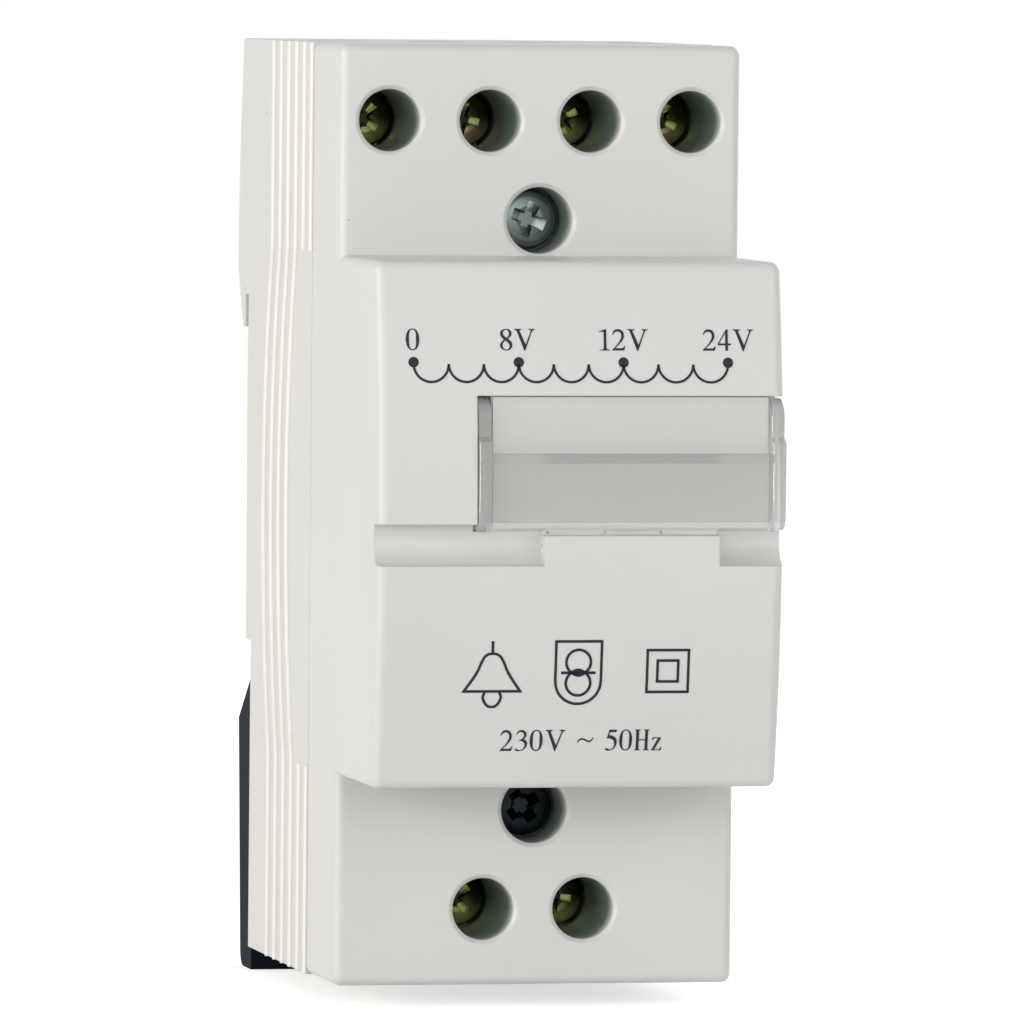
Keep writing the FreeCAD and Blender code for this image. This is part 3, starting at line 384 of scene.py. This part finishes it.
finishes = {
    "housing": mouldedAbs(),
    "clear_flap": clearPolycarbonate(),
    # printed card: flat, a shade greyer than the plastic around it
    "card": plainSurface("labelCard", "#d0d0cd", "#d5d5d1", 0.4, (0.55, 0.7), {"IOR": 1.5}),
    # moulded black nylon: matt, faintly blue
    "clip": plainSurface("blackNylon", "#0b141e", "#111c27", 0.5, (0.6, 0.72),
                         {"IOR": 1.53, "Specular IOR Level": 0.05}, 0.02),
    # drawn spring steel: grey and bright
    "spring_steel": plainSurface("springSteel", "#8b8b88", "#a9a9a6", 0.2, (0.2, 0.32), metal),
    # zinc plated steel: mid grey, soft gloss
    "cover_screw": plainSurface("zincSteel", "#606c6a", "#7c8784", 0.8, (0.3, 0.45), metal),
    "terminal_screw": yellowZinc(),
    # pressed sheet with zinc on it: pale and cloudy
    "terminal_cage": plainSurface("pressedZincSteel", "#8e9293", "#b4b7b6", 1.0, (0.25, 0.4), metal),
    # rolled brass: warm, half glossy
    "brass": plainSurface("rolledBrass", "#a8843c", "#c49c50", 0.8, (0.25, 0.38), metal),
    # varnished sheets on edge: dark stripes across the stack
    "core_steel": plainSurface("varnishedLaminations", "#3c3b3a", "#5d5b58", 0.5, (0.35, 0.6), metal, 0.05,
                               ("X", 0.5)),
    # moulded nylon with glass in it: near black, dull
    "bobbin": plainSurface("glassFilledNylon", "#202226", "#2b2e33", 0.4, (0.4, 0.55), {"IOR": 1.53}),
    # enamelled wire: a brown stripe for each turn
    "copper": plainSurface("enamelledCopper", "#5e2812", "#b0602f", 0.3, (0.35, 0.2), metal, 0.08,
                           ("Y", 0.4)),
    # polyester tape: amber, smooth
    "tape": plainSurface("polyesterTape", "#c9a23a", "#dab85a", 3.0, (0.25, 0.35), {"IOR": 1.6}),
    # cast resin: cream, soft gloss
    "thermal_link": plainSurface("castResin", "#cfc9b8", "#ded9cb", 0.6, (0.4, 0.5), {"IOR": 1.55}),
    # extruded soft PVC: even colour, half glossy
    "lead_primary": plainSurface("redPvc", "#8c1f1a", "#a02a22", 0.6, (0.3, 0.42), {"IOR": 1.53}),
    "lead_secondary": plainSurface("bluePvc", "#1f3f82", "#2a4d96", 0.6, (0.3, 0.42), {"IOR": 1.53}),
}
# the same zinc rubbed clean by the driver, made lighter as a painted glint: pale yellow in the terminal
# screws' recesses
paintedGlintYellowZinc = plainSurface("wornYellowZincPaintedGlint", "#b2b486", "#e0deb6", 0.3, (0.15, 0.3), metal)
# the same zinc plated steel with painted shade, for the screw in the shade under the nose: dark, soft gloss
shadedZincSteel = plainSurface("zincSteelPaintedShade", "#1d2427", "#2b3336", 0.8, (0.3, 0.45), metal)
# zinc rubbed by the driver, lighter still as a painted glint: near white
wornZincPaintedGlint = plainSurface("wornZincPaintedGlint", "#d2d8d6", "#f0f3f2", 0.3, (0.2, 0.35), metal)
# pad printed ink: blue black, flat
ink = plainSurface("padPrintInk", "#18212a", "#202a33", 0.3, (0.5, 0.65),
                   {"IOR": 1.5, "Specular IOR Level": 0.25})
for row in frame["record"]["subparts"]:
    nodes[row["node"]].data.materials[0] = finishes[row["material_slot"]]
print("materials:", len(bpy.data.materials))


# Clear flap with moulded edges

flapSpec = {  # y and z in mm as in the CAD, spans along x
    "edgeRadius": 0.12,
    "edgeSteps": 3,
    "sharpFrom": 30,  # degrees between two faces whose edge is rounded
    "front": -61.3,
    "plateFront": -61.15,
    "plateRear": -60.15,
    "bottom": -0.4,
    "top": 6.2,
    "rim": 0.8,
    "plateSpan": (-8.4, 17.15),
    "armSpans": ((-9.0, -7.85), (16.6, 17.75)),
    "armRear": -58.5,
    "pivot": (-58.8, 9.2),
    "eyeRadius": 1.7,
    "neck": 7.6,
    "slope": 0.4,
    "footRound": 1.2,
    "pinRadius": 0.6,
    "pinSpans": ((-8.2, -6.95), (15.7, 16.95)),
    "tabSpans": ((-3.0, 2.0), (6.9, 11.9)),
    "tabDrop": 0.25,
}


def arcPoints(centre, radius, first, last, step=15):  # degrees from +y towards +z
    turns = [math.radians(angle) for angle in range(first, last + 1, step)]
    return [(centre[0] + radius * math.cos(turn), centre[1] + radius * math.sin(turn)) for turn in turns]


def profileBlock(points, span, radius):  # an outline in y and z drawn along x, its outer edges rounded
    bm = bmesh.new()
    face = bm.faces.new([bm.verts.new((span[0] * mm, y * mm, z * mm)) for y, z in points])
    grown = bmesh.ops.extrude_face_region(bm, geom=[face])["geom"]
    moved = [item for item in grown if isinstance(item, bmesh.types.BMVert)]
    bmesh.ops.translate(bm, verts=moved, vec=((span[1] - span[0]) * mm, 0, 0))
    bmesh.ops.recalc_face_normals(bm, faces=bm.faces)
    if radius:
        least = math.radians(flapSpec["sharpFrom"])
        sharp = [edge for edge in bm.edges if edge.is_convex and edge.calc_face_angle(0.0) > least]
        bmesh.ops.bevel(bm, geom=sharp, offset=radius * mm, offset_type="OFFSET", affect="EDGES",
                        segments=flapSpec["edgeSteps"], profile=0.5, material=-1, clamp_overlap=True)
    return bm


def makeFlap():
    spec = flapSpec
    front, bottom, top, rim = spec["front"], spec["bottom"], spec["top"], spec["rim"]
    rear, inset, soft = spec["plateRear"], spec["plateFront"], spec["edgeRadius"]
    plate = [(rear, bottom), (rear, top), (front, top), (front, top - rim), (inset, top - rim),
             (inset, bottom + rim), (front, bottom + rim), (front, bottom)]
    eye = spec["pivot"]
    foot = spec["footRound"]
    arm = [(spec["armRear"], bottom), *arcPoints(eye, spec["eyeRadius"], 0, 180),
           (eye[0] - spec["eyeRadius"], spec["neck"]), (front, spec["neck"] - spec["slope"]),
           *arcPoints((front + foot, bottom + foot), foot, 180, 270)]
    tab = [(rear, bottom + rim / 2), (front, bottom + rim / 2), (front, bottom - spec["tabDrop"]),
           (rear, bottom - spec["tabDrop"])]
    pin = arcPoints(eye, spec["pinRadius"], 0, 345)
    parts = [profileBlock(arm, span, soft) for span in spec["armSpans"]]
    parts += [profileBlock(tab, span, soft) for span in spec["tabSpans"]]
    parts += [profileBlock(pin, span, 0) for span in spec["pinSpans"]]
    mesh = combined("flap", profileBlock(plate, spec["plateSpan"], soft), parts, "UNION")
    bm = bmesh.new()
    bm.from_mesh(mesh)
    bpy.data.meshes.remove(mesh)
    bmesh.ops.remove_doubles(bm, verts=bm.verts, dist=joinWithin * mm)
    bmesh.ops.recalc_face_normals(bm, faces=bm.faces)
    bmesh.ops.triangulate(bm, faces=bm.faces)
    flap = newPiece("clear_flap", bm, finishes["clear_flap"], "flap")
    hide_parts("label_flap")


makeFlap()
print("flap made")


# Screws with a crossed recess and thread ridges

terminalScrew = {
    "front": -30.8,
    "headDiameter": 5.0,
    "headHeight": 2.2,
    "dome": 0.45,
    "edgeRound": 0.35,
    "shankDiameter": 3.5,
    "length": 6.7,
    "threadPitch": 0.6,
    "threadDepth": 0.35,
    "recessWidth": 0.8,
    "recessReach": 2.0,
    "recessDepth": 1.1,
    "dimple": 1.2,  # reach of the shallow four-sided dimple that bevels the corners of the cross
    "turns": {"0v": 38, "8v": 12, "12v": 61, "24v": 25, "live": 50, "neutral": 5},  # degrees of the cross
}
coverScrew = {
    "front": -37.9,
    "headDiameter": 5.2,
    "headHeight": 2.0,
    "dome": 0.3,
    "edgeRound": 0.4,
    "shankDiameter": 3.0,
    "length": 22.0,
    "threadPitch": 1.2,
    "threadDepth": 0.45,
    "recessWidth": 1.25,
    "recessReach": 1.95,
    "recessDepth": 1.3,
    "dimple": 1.75,
    "turns": {"upper": 20, "lower": 55},
}
headEdge = ((0.6, 0.75, 0.1), (0.2, 1.0, 0.25))  # shares along the rounded edge: inset, dome, drop
threadShape = {"start": 0.2, "top": 0.5, "end": 0.6, "point": 0.7}  # shares of a pitch, point of the root
screwSteps = 48
recessShape = {  # shares of each screw's own recess
    "dimpleOuter": 1.3,
    "dimpleInner": 0.5,
    "dimpleSlope": 0.42,  # depth of the dimple's faces for each mm towards the middle
    "slotLength": 0.35,  # at the bottom of a slot
    "slotWidth": 0.55,
    "above": 0.5,  # mm that the cutter stands in front of the head
}


def screwProfile(spec):  # radius and depth from the front, along one side of the screw
    outer = spec["headDiameter"] / 2
    bend = spec["edgeRound"]
    line = [(outer * step / 4, spec["dome"] * (step / 4) ** 2) for step in range(4)]
    line += [(outer - bend * inset, spec["dome"] * dome + bend * drop) for inset, dome, drop in headEdge]
    line += [(outer, spec["dome"] + bend), (outer, spec["headHeight"])]
    crest = spec["shankDiameter"] / 2
    root = crest - spec["threadDepth"]
    pitch = spec["threadPitch"]
    depth = spec["headHeight"]
    line.append((root, depth))
    end = spec["headHeight"] + spec["length"]
    while depth + pitch < end - pitch:
        line.append((root, depth + pitch * threadShape["start"]))
        line += [(crest, depth + pitch * threadShape[spot]) for spot in ("top", "end")]
        depth += pitch
        line.append((root, depth))
    line += [(root, end - pitch / 2), (root * threadShape["point"], end), (0, end)]
    return line


def turnedBlank(spec):
    bm = bmesh.new()
    verts = [bm.verts.new((radius * mm, depth * mm, 0)) for radius, depth in screwProfile(spec)]
    edges = [bm.edges.new(pair) for pair in zip(verts, verts[1:])]
    bmesh.ops.spin(bm, geom=verts + edges, cent=(0, 0, 0), axis=(0, 1, 0), angle=math.tau,
                   steps=screwSteps, use_merge=True)
    bmesh.ops.remove_doubles(bm, verts=bm.verts, dist=joinWithin * mm)
    bmesh.ops.recalc_face_normals(bm, faces=bm.faces)
    return bm


def recessCutter(spec):  # two crossed blocks that narrow towards their ends and the bottom, and a dimple
    bm = bmesh.new()
    shape = recessShape
    outer, inner = shape["dimpleOuter"], shape["dimpleInner"]
    fall = spec["dimple"] * shape["dimpleSlope"]
    made = bmesh.ops.create_cone(bm, cap_ends=True, segments=4, radius1=spec["dimple"] * outer,
                                 radius2=spec["dimple"] * inner, depth=fall * (outer - inner))["verts"]
    bmesh.ops.rotate(bm, verts=made, matrix=Matrix.Rotation(math.radians(-90), 3, "X"))
    bmesh.ops.translate(bm, verts=made, vec=(0, fall * (1 - (outer + inner) / 2), 0))
    bmesh.ops.scale(bm, verts=made, vec=(mm, mm, mm))
    bm.normal_update()
    for face in bm.faces:
        face.material_index = 0 if abs(face.normal.y) > 0.98 else 1  # the dimple's slopes take the second coat: wear with a painted glint
    for turn in (0, 90):
        made = bmesh.ops.create_cube(bm, size=2.0)["verts"]
        for vert in made:
            deep = vert.co.y > 0
            vert.co.x *= spec["recessReach"] * (shape["slotLength"] if deep else 1)
            vert.co.z *= spec["recessWidth"] / 2 * (shape["slotWidth"] if deep else 1)
            vert.co.y = spec["recessDepth"] if deep else -shape["above"]
        for face in {face for vert in made for face in vert.link_faces}:
            face.normal_update()
            face.material_index = 1 if abs(face.normal.x) > 0.5 else 0  # the slots' ends take it too
        bmesh.ops.rotate(bm, verts=made, matrix=Matrix.Rotation(math.radians(turn), 3, "Y"))
        bmesh.ops.scale(bm, verts=made, vec=(mm, mm, mm))
    bmesh.ops.recalc_face_normals(bm, faces=bm.faces)
    return bm


def placeScrew(mesh, piece, node, body, place, spec, turn, coats):
    bm = bmesh.new()
    bm.from_mesh(mesh)
    bmesh.ops.remove_doubles(bm, verts=bm.verts, dist=joinWithin * mm)
    bmesh.ops.rotate(bm, verts=bm.verts, matrix=Matrix.Rotation(math.radians(turn), 3, "Y"))
    bmesh.ops.translate(bm, verts=bm.verts, vec=Vector((place[0], spec["front"], place[1])) * mm)
    screw = newPiece(piece, bm, coats[0], body)
    screw.data.materials.append(coats[1])
    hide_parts(node)


coverCoats = {  # the coat of each cover screw and of the worn faces in its recess: the upper's worn faces carry a painted glint, the lower screw is all painted shade as under the nose
    "upper": (finishes["cover_screw"], wornZincPaintedGlint),
    "lower": (shadedZincSteel, shadedZincSteel),
}


def makeScrews():
    mesh = combined("terminal", turnedBlank(terminalScrew), [recessCutter(terminalScrew)], "DIFFERENCE")
    for name, place in terminalPlaces.items():
        placeScrew(mesh, "clamp_screw_" + name, "terminal_screw_" + name, "screw_" + name, place,
                   terminalScrew, terminalScrew["turns"][name],
                   (finishes["terminal_screw"], paintedGlintYellowZinc))
    bpy.data.meshes.remove(mesh)
    mesh = combined("cover", turnedBlank(coverScrew), [recessCutter(coverScrew)], "DIFFERENCE")
    for name, place in coverScrewPlaces.items():
        placeScrew(mesh, "case_screw_" + name, "cover_screw_" + name, "housing", place,
                   coverScrew, coverScrew["turns"][name], coverCoats[name])
    bpy.data.meshes.remove(mesh)


makeScrews()
print("screws made")


# Coil spring behind the rail clip, made at rest; the real one shortens as the clip is pulled down

coilSpring = {
    "wire": 0.4,
    "turns": 6,
    "stepsInTurn": 24,
    "sides": 12,
    "keep": 0.65,  # 10 mm at rest, 6.5 mm with the clip pulled down
}


def makeSpring():
    low, high = (Vector(corner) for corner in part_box("clip_spring"))
    middle = (low + high) / 2
    wire = coilSpring["wire"] * mm
    reach = (high.x - low.x - wire) / 2
    bm = bmesh.new()
    foot = Vector((middle.x + reach, middle.y, low.z + wire / 2))
    upright = Matrix.Translation(foot) @ Matrix.Rotation(math.radians(90), 4, "X")
    ring = bmesh.ops.create_circle(bm, cap_ends=False, segments=coilSpring["sides"], radius=wire / 2,
                                   matrix=upright)
    steps = coilSpring["turns"] * coilSpring["stepsInTurn"]
    rise = (high.z - low.z - wire) / steps
    edges = list(bm.edges)
    bmesh.ops.contextual_create(bm, geom=ring["verts"])
    end = bmesh.ops.spin(bm, geom=edges, cent=middle, axis=(0, 0, 1), dvec=(0, 0, rise),
                         angle=math.tau * coilSpring["turns"], steps=steps)["geom_last"]
    bmesh.ops.contextual_create(bm, geom=[item for item in end if isinstance(item, bmesh.types.BMVert)])
    bmesh.ops.recalc_face_normals(bm, faces=bm.faces)
    for face in bm.faces:
        face.smooth = len(face.verts) == 4
    spring = newPiece("coil_spring", bm, finishes["spring_steel"], "housing")
    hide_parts("clip_spring")
    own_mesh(spring)


makeSpring()
print("spring made")


# Printed marks on the bowed front of the nose

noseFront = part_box("front_cover")[0].y
printing = {
    "noseHeight": 45.0,
    "noseRise": 2.4,
    "inkDepth": 0.03,  # how far the ink stands on the plastic
    "lineWidth": 0.21,
}
noseRadius = printing["noseHeight"] ** 2 / (8 * printing["noseRise"]) + printing["noseRise"] / 2


def layOnNose(bm):  # flat marks drawn in x and z, ink depth in y, follow the bow of the nose
    for vert in bm.verts:
        rise = noseRadius - math.sqrt(noseRadius ** 2 - (vert.co.z / mm) ** 2)
        vert.co.y += noseFront + rise * mm


def inkPiece(name, bm):
    layOnNose(bm)
    bmesh.ops.recalc_face_normals(bm, faces=bm.faces)
    return newPiece(name, bm, ink, "housing")


def inkArc(bm, centre, radius, first, last, width, steps=20):  # degrees from +x towards +z
    half = width / 2
    depth = printing["inkDepth"]
    turn = math.radians(last - first)
    whole = abs(last - first) >= 360
    start = Matrix.Rotation(-math.radians(first), 3, "Y")
    verts = []
    for reach, y in ((-half, 0), (half, 0), (half, -depth), (-half, -depth)):
        spot = start @ Vector((radius + reach, y, 0)) + Vector((centre[0], 0, centre[1]))
        verts.append(bm.verts.new(spot * mm))
    section = bm.faces.new(verts)
    bmesh.ops.spin(bm, geom=[section, *section.edges, *section.verts], axis=(0, -1, 0), angle=turn,
                   cent=Vector((centre[0], 0, centre[1])) * mm, steps=steps, use_merge=whole)
    if whole:
        bmesh.ops.delete(bm, geom=[section], context="FACES_ONLY")


def inkDot(bm, centre, radius):
    made = bmesh.ops.create_cone(bm, cap_ends=True, segments=32, radius1=radius, radius2=radius,
                                 depth=printing["inkDepth"])["verts"]
    bmesh.ops.rotate(bm, verts=made, matrix=Matrix.Rotation(math.radians(90), 3, "X"))
    bmesh.ops.translate(bm, verts=made, vec=(centre[0], -printing["inkDepth"] / 2, centre[1]))
    bmesh.ops.scale(bm, verts=made, vec=(mm, mm, mm))


windingMark = {
    "first": -14.6,
    "last": 12.79,
    "arcs": 9,
    "bottom": 12.17,
    "dotHeight": 13.95,
    "dotRadius": 0.45,
    "tapEvery": 3,
}


def drawWindingMark():
    bm = bmesh.new()
    pitch = (windingMark["last"] - windingMark["first"]) / windingMark["arcs"]
    level = windingMark["bottom"] + pitch / 2 + printing["lineWidth"] / 2
    for i in range(windingMark["arcs"]):
        centre = (windingMark["first"] + pitch * (i + 0.5), level)
        inkArc(bm, centre, pitch / 2, 180, 360, printing["lineWidth"])
    for i in range(0, windingMark["arcs"] + 1, windingMark["tapEvery"]):
        inkDot(bm, (windingMark["first"] + pitch * i, windingMark["dotHeight"]), windingMark["dotRadius"])
    return inkPiece("winding_mark", bm)


figures = {  # outlines of upright figures in hundredths of their height, s marks a smooth point
    "0": ["25,-1s 48,50s 25,101s 2,50s", "25,4s 37,50s 25,96s 13,50s"],
    "1": ["8,0 44,0 44,3 36,4 31.5,10 31.5,100 28,100 6,89 6,86 16,89 22.5,86 22.5,10 18,4 8,3"],
    "2": ["3,0 44,0 48,20 45,20 40,12s 34,10.5 13,10.5 30,33s 42,56s 44,73s 38,92s 24,100s 10,93s 4,74 "
          "6.5,73.5 12,84s 21,89s 31,84s 35,70s 32,52s 20,27s 3,3"],
    "3": ["5,80 8,79 14,88s 21,91s 30,86s 33,75s 29,62s 16,51 16,48.5 27,46s 34,38s 36,26s 31,10s 20,3.5s "
          "13,6s 7,10s 2,6s 6,1s 15,-1s 34,7s 45,32s 42,46s 33,55 38,64s 42,77s 37,93s 24,100s 12,95s"],
    "4": ["28,0 37,0 37,25 47,25 47,34 37,34 37,100 31,100 2,33 2,25 28,25", "28,34 28,84 6.5,34"],
    "5": ["43,100 40,88 18,88 15,74 28,70s 39,59s 43,40s 36,13s 17,-1s 5,2s 2,7s 6,11s 13,8s 20,5s 30,13s "
          "34,32s 29,50s 17,57s 7,58 16,100"],
    "8": ["25,100s 40,93s 44,77s 40,64s 31,54 42,41s 46,24s 40,6s 25,-1s 10,6s 4,23s 9,38s 18,49 9,62s "
          "5,76s 10,93s",
          "25,96s 33,90s 35,78s 33,67s 27,58 18,68s 14,79s 17,91s",
          "22,46 33,33s 37,20s 33,8s 25,3.5s 16,8s 12.5,22s 15,35s"],
    "V": ["0,100 26,100 26,97 19,94 19,90 39,26 56,86 57,93 50,97 50,100 71,100 71,97 64,93 60,84 "
          "37,-2 34,-2 9,90 6,94 0,97"],
    "H": ["0,0 20,0 20,3 15,6 15,48 37,48 37,6 32,3 32,0 52,0 52,3 47,6 47,94 52,97 52,100 32,100 32,97 "
          "37,94 37,53 15,53 15,94 20,97 20,100 0,100 0,97 5,94 5,6 0,3"],
    "z": ["2,0 36,0 37,17 35,17 31,6 27,4 13,4 36,60 36,62 5,62 4,47 6,47 9,56 13,58 25,58 2,2"],
    "~": ["0,40 2,38 10,48s 20,52s 34,44s 44,40s 52,46s 60,62 58,64 48,50s 42,48s 32,54s 20,60s 8,54s"],
}
tapMarks = {
    "height": 1.81,
    "level": 15.88,
    "gap": 0.1,  # between figures, as a share of their height
    "space": 0.36,
    "stretch": 1.4,
    "texts": {"0": -14.66, "8V": -5.55, "12V": 3.68, "24V": 12.83},
}
ratingMark = {
    "height": 1.8,
    "level": -18.35,
    "gap": 0.12,
    "space": 0.45,
    "stretch": 1.36,
    "texts": {"230V ~ 50Hz": 0.4},
}
symbols = {  # centre lines in mm on the nose, each open or closed
    "bell_mark": [
        ("-7.57,-9.78 -7.57,-10.85", False),
        ("-7.57,-10.86s -8.13,-11.03s -8.47,-11.52s -8.83,-12.36s -9.99,-14.1 -5.09,-14.1 -6.25,-12.36s "
         "-6.62,-11.52s -6.99,-11.03s", True),
        ("-8.17,-14.16s -8.3,-14.72s -7.53,-15.45s -6.76,-14.72s -6.89,-14.16s", False),
    ],
    "transformer_mark": [
        ("-2.05,-9.83 -2.05,-13.21 -1.93,-13.89s -1.47,-14.62s -0.74,-15.08s -0.06,-15.2s 0.62,-15.08s "
         "1.35,-14.62s 1.81,-13.89s 1.93,-13.21 1.93,-9.83", True),
        ("-0.06,-10.55s -1.13,-11.62s -0.06,-12.69s 1.01,-11.62s", True),
        ("-0.06,-12.34s -1.13,-13.41s -0.06,-14.48s 1.01,-13.41s", True),
        ("-1.56,-12.53 1.44,-12.53", False),
    ],
    "double_square_mark": [
        ("5.95,-10.6 5.95,-14.2 9.55,-14.2 9.55,-10.6", True),
        ("6.85,-11.5 6.85,-13.3 8.65,-13.3 8.65,-11.5", True),
    ],
}
fills = {"transformer_lens_mark": "-0.9,-12.52 -0.06,-12.16s 0.78,-12.52 -0.06,-12.88s"}
symbolLine = 0.23


def addSpline(curve, text, scale=(1, 1), shift=0, closed=True):
    spots = text.split()
    spline = curve.splines.new("BEZIER")
    spline.bezier_points.add(len(spots) - 1)
    spline.use_cyclic_u = closed
    spline.resolution_u = 8
    for point, spot in zip(spline.bezier_points, spots):
        x, z = (float(value) for value in spot.rstrip("s").split(","))
        point.co = (x * scale[0] + shift, z * scale[1], 0)
        point.handle_left_type = point.handle_right_type = "AUTO" if spot.endswith("s") else "VECTOR"


def flatCurve(name, fill):
    curve = bpy.data.curves.new(name, "CURVE")
    curve.dimensions = "2D"
    curve.fill_mode = fill
    curve.extrude = printing["inkDepth"] / 2
    return curve


def inkFromCurve(name, curve, lineWidth=None, shift=(0, 0)):  # filled outlines, or lines given a width
    holder = bpy.data.objects.new(name + "_curve", curve)
    scene.collection.objects.link(holder)
    if lineWidth:
        wall = holder.modifiers.new("line", "SOLIDIFY")
        wall.thickness = lineWidth
        wall.offset = 0
        wall.use_even_offset = True
    mesh = finishedMesh(holder)
    bpy.data.objects.remove(holder)
    bm = bmesh.new()
    bm.from_mesh(mesh)
    bpy.data.meshes.remove(mesh)
    bmesh.ops.remove_doubles(bm, verts=bm.verts, dist=joinWithin)
    bmesh.ops.rotate(bm, verts=bm.verts, matrix=Matrix.Rotation(math.radians(90), 3, "X"))
    bmesh.ops.translate(bm, verts=bm.verts, vec=(shift[0], -printing["inkDepth"] / 2, shift[1]))
    bmesh.ops.scale(bm, verts=bm.verts, vec=(mm, mm, mm))
    return inkPiece(name, bm)


def figureSpan(letter):
    xs = [float(spot.split(",")[0]) for outline in figures[letter] for spot in outline.split()]
    return min(xs), max(xs)


def drawFigures(name, text, centre, spec):
    curve = flatCurve(name, "BOTH")
    size = spec["height"] / 100
    wide = size * spec["stretch"]
    pen = 0
    for letter in text:
        if letter == " ":
            pen += spec["space"] * spec["height"]
            continue
        left, right = figureSpan(letter)
        for outline in figures[letter]:
            addSpline(curve, outline, (wide, size), pen - left * wide)
        pen += (right - left) * wide + spec["gap"] * spec["height"]
    half = (pen - spec["gap"] * spec["height"]) / 2
    return inkFromCurve(name, curve, shift=(centre - half, spec["level"] - spec["height"] / 2))


def drawMarks():
    drawWindingMark()
    for spec, kind in ((tapMarks, "tap_mark"), (ratingMark, "rating_mark")):
        for i, (text, centre) in enumerate(spec["texts"].items(), 1):
            drawFigures(f"{kind}_{i}", text, centre, spec)
    for name, lines in symbols.items():
        curve = flatCurve(name, "NONE")
        for text, closed in lines:
            addSpline(curve, text, closed=closed)
        inkFromCurve(name, curve, symbolLine)
    for name, text in fills.items():
        curve = flatCurve(name, "BOTH")
        addSpline(curve, text)
        inkFromCurve(name, curve)


drawMarks()
print("marks printed")


# Floor, light and camera

stageSpec = {
    "floorSize": 40.0,  # m
    "floorColour": "#f4f4f2",
    "floorGlow": 0.62,  # what a camera ray sees besides the light that falls on the floor
    "ambient": 0.42,
}


def seenRays(tree):  # 1 for camera, glossy and transmission rays, so they meet a white background
    rays = addNode(tree, "ShaderNodeLightPath")
    first = addNode(tree, "ShaderNodeMath", {"operation": "MAXIMUM"},
                    links={0: rays.outputs["Is Camera Ray"], 1: rays.outputs["Is Glossy Ray"]})
    both = addNode(tree, "ShaderNodeMath", {"operation": "MAXIMUM"},
                   links={0: first.outputs[0], 1: rays.outputs["Is Transmission Ray"]})
    return both.outputs[0]


def makeFloor():  # pale matt paper: white to the eye, keeps the shadow
    material, tree, shader, _ = startMaterial("paleFloor", {"Roughness": 0.9, "Specular IOR Level": 0.0})
    shader.inputs["Base Color"].default_value = linear(stageSpec["floorColour"])
    shader.inputs["Emission Color"].default_value = (1, 1, 1, 1)
    glow = addNode(tree, "ShaderNodeMath", {"operation": "MULTIPLY"}, {1: stageSpec["floorGlow"]},
                   {0: seenRays(tree)})
    tree.links.new(glow.outputs[0], shader.inputs["Emission Strength"])
    bm = bmesh.new()
    bmesh.ops.create_grid(bm, x_segments=1, y_segments=1, size=stageSpec["floorSize"] / 2)
    bmesh.ops.translate(bm, verts=bm.verts, vec=(0, 0, cadBox[0].z))
    floor = meshObject("floor", bm)
    floor.data.materials.append(material)


def makeWorld():
    world = bpy.data.worlds.new("studio")
    scene.world = world
    world.use_nodes = True
    tree = world.node_tree
    sky = tree.nodes["Background"]
    sky.inputs["Color"].default_value = (1, 1, 1, 1)
    level = addNode(tree, "ShaderNodeMapRange", values={"To Min": stageSpec["ambient"], "To Max": 1.0},
                    links={"Value": seenRays(tree)})
    tree.links.new(level.outputs["Result"], sky.inputs["Strength"])


lampAim = (0, -30, 0)
lamps = {  # place and size in mm, power in watts
    "leftSoftbox": {"place": (-760, -260, 110), "size": 300, "power": 2.95, "tint": "#fffaf5"},
    "frontSoftbox": {"place": (470, -760, 230), "size": 480, "power": 1.3, "tint": "#fdffff"},
    "fillSoftbox": {"place": (-40, -800, 160), "size": 160, "power": 0.65, "tint": "#fdffff"},
    "backSoftbox": {"place": (620, 560, 300), "size": 400, "power": 2.2, "tint": "#fdffff"},
    "keySoftbox": {"place": (-450, -680, 170), "size": 160, "power": 0.42, "tint": "#fdffff"},
}


def makeLamps():
    for name, spec in lamps.items():
        data = bpy.data.lights.new(name, "AREA")
        data.size = spec["size"] * mm
        data.energy = spec["power"]
        data.color = linear(spec["tint"])[:3]
        lamp = bpy.data.objects.new(name, data)
        scene.collection.objects.link(lamp)
        place = Vector(spec["place"]) * mm
        lamp.location = place
        aim = Vector(lampAim) * mm - place
        lamp.rotation_euler = aim.to_track_quat("-Z", "Y").to_euler()


cameraSpec = {  # fitted to the photo's corners and hole centres
    "place": (-209.02, -1024.63, 49.58),
    "yaw": 11.89,
    "pitch": 2.81,
    "roll": 0.55,
    "lens": 407.5,
    "sensor": 36.0,
}


def makeCamera():
    data = bpy.data.cameras.new("camera")
    data.lens = cameraSpec["lens"]
    data.sensor_width = cameraSpec["sensor"]
    camera = bpy.data.objects.new("camera", data)
    scene.collection.objects.link(camera)
    turn = Matrix.Rotation(-math.radians(cameraSpec["yaw"]), 4, "Z")
    tilt = Matrix.Rotation(math.radians(90 - cameraSpec["pitch"]), 4, "X")
    roll = Matrix.Rotation(math.radians(cameraSpec["roll"]), 4, "Z")
    camera.matrix_world = Matrix.Translation(Vector(cameraSpec["place"]) * mm) @ turn @ tilt @ roll
    scene.camera = camera


makeFloor()
makeWorld()
makeLamps()
makeCamera()
scene.view_settings.view_transform = "Standard"
print("stage, light and camera set")
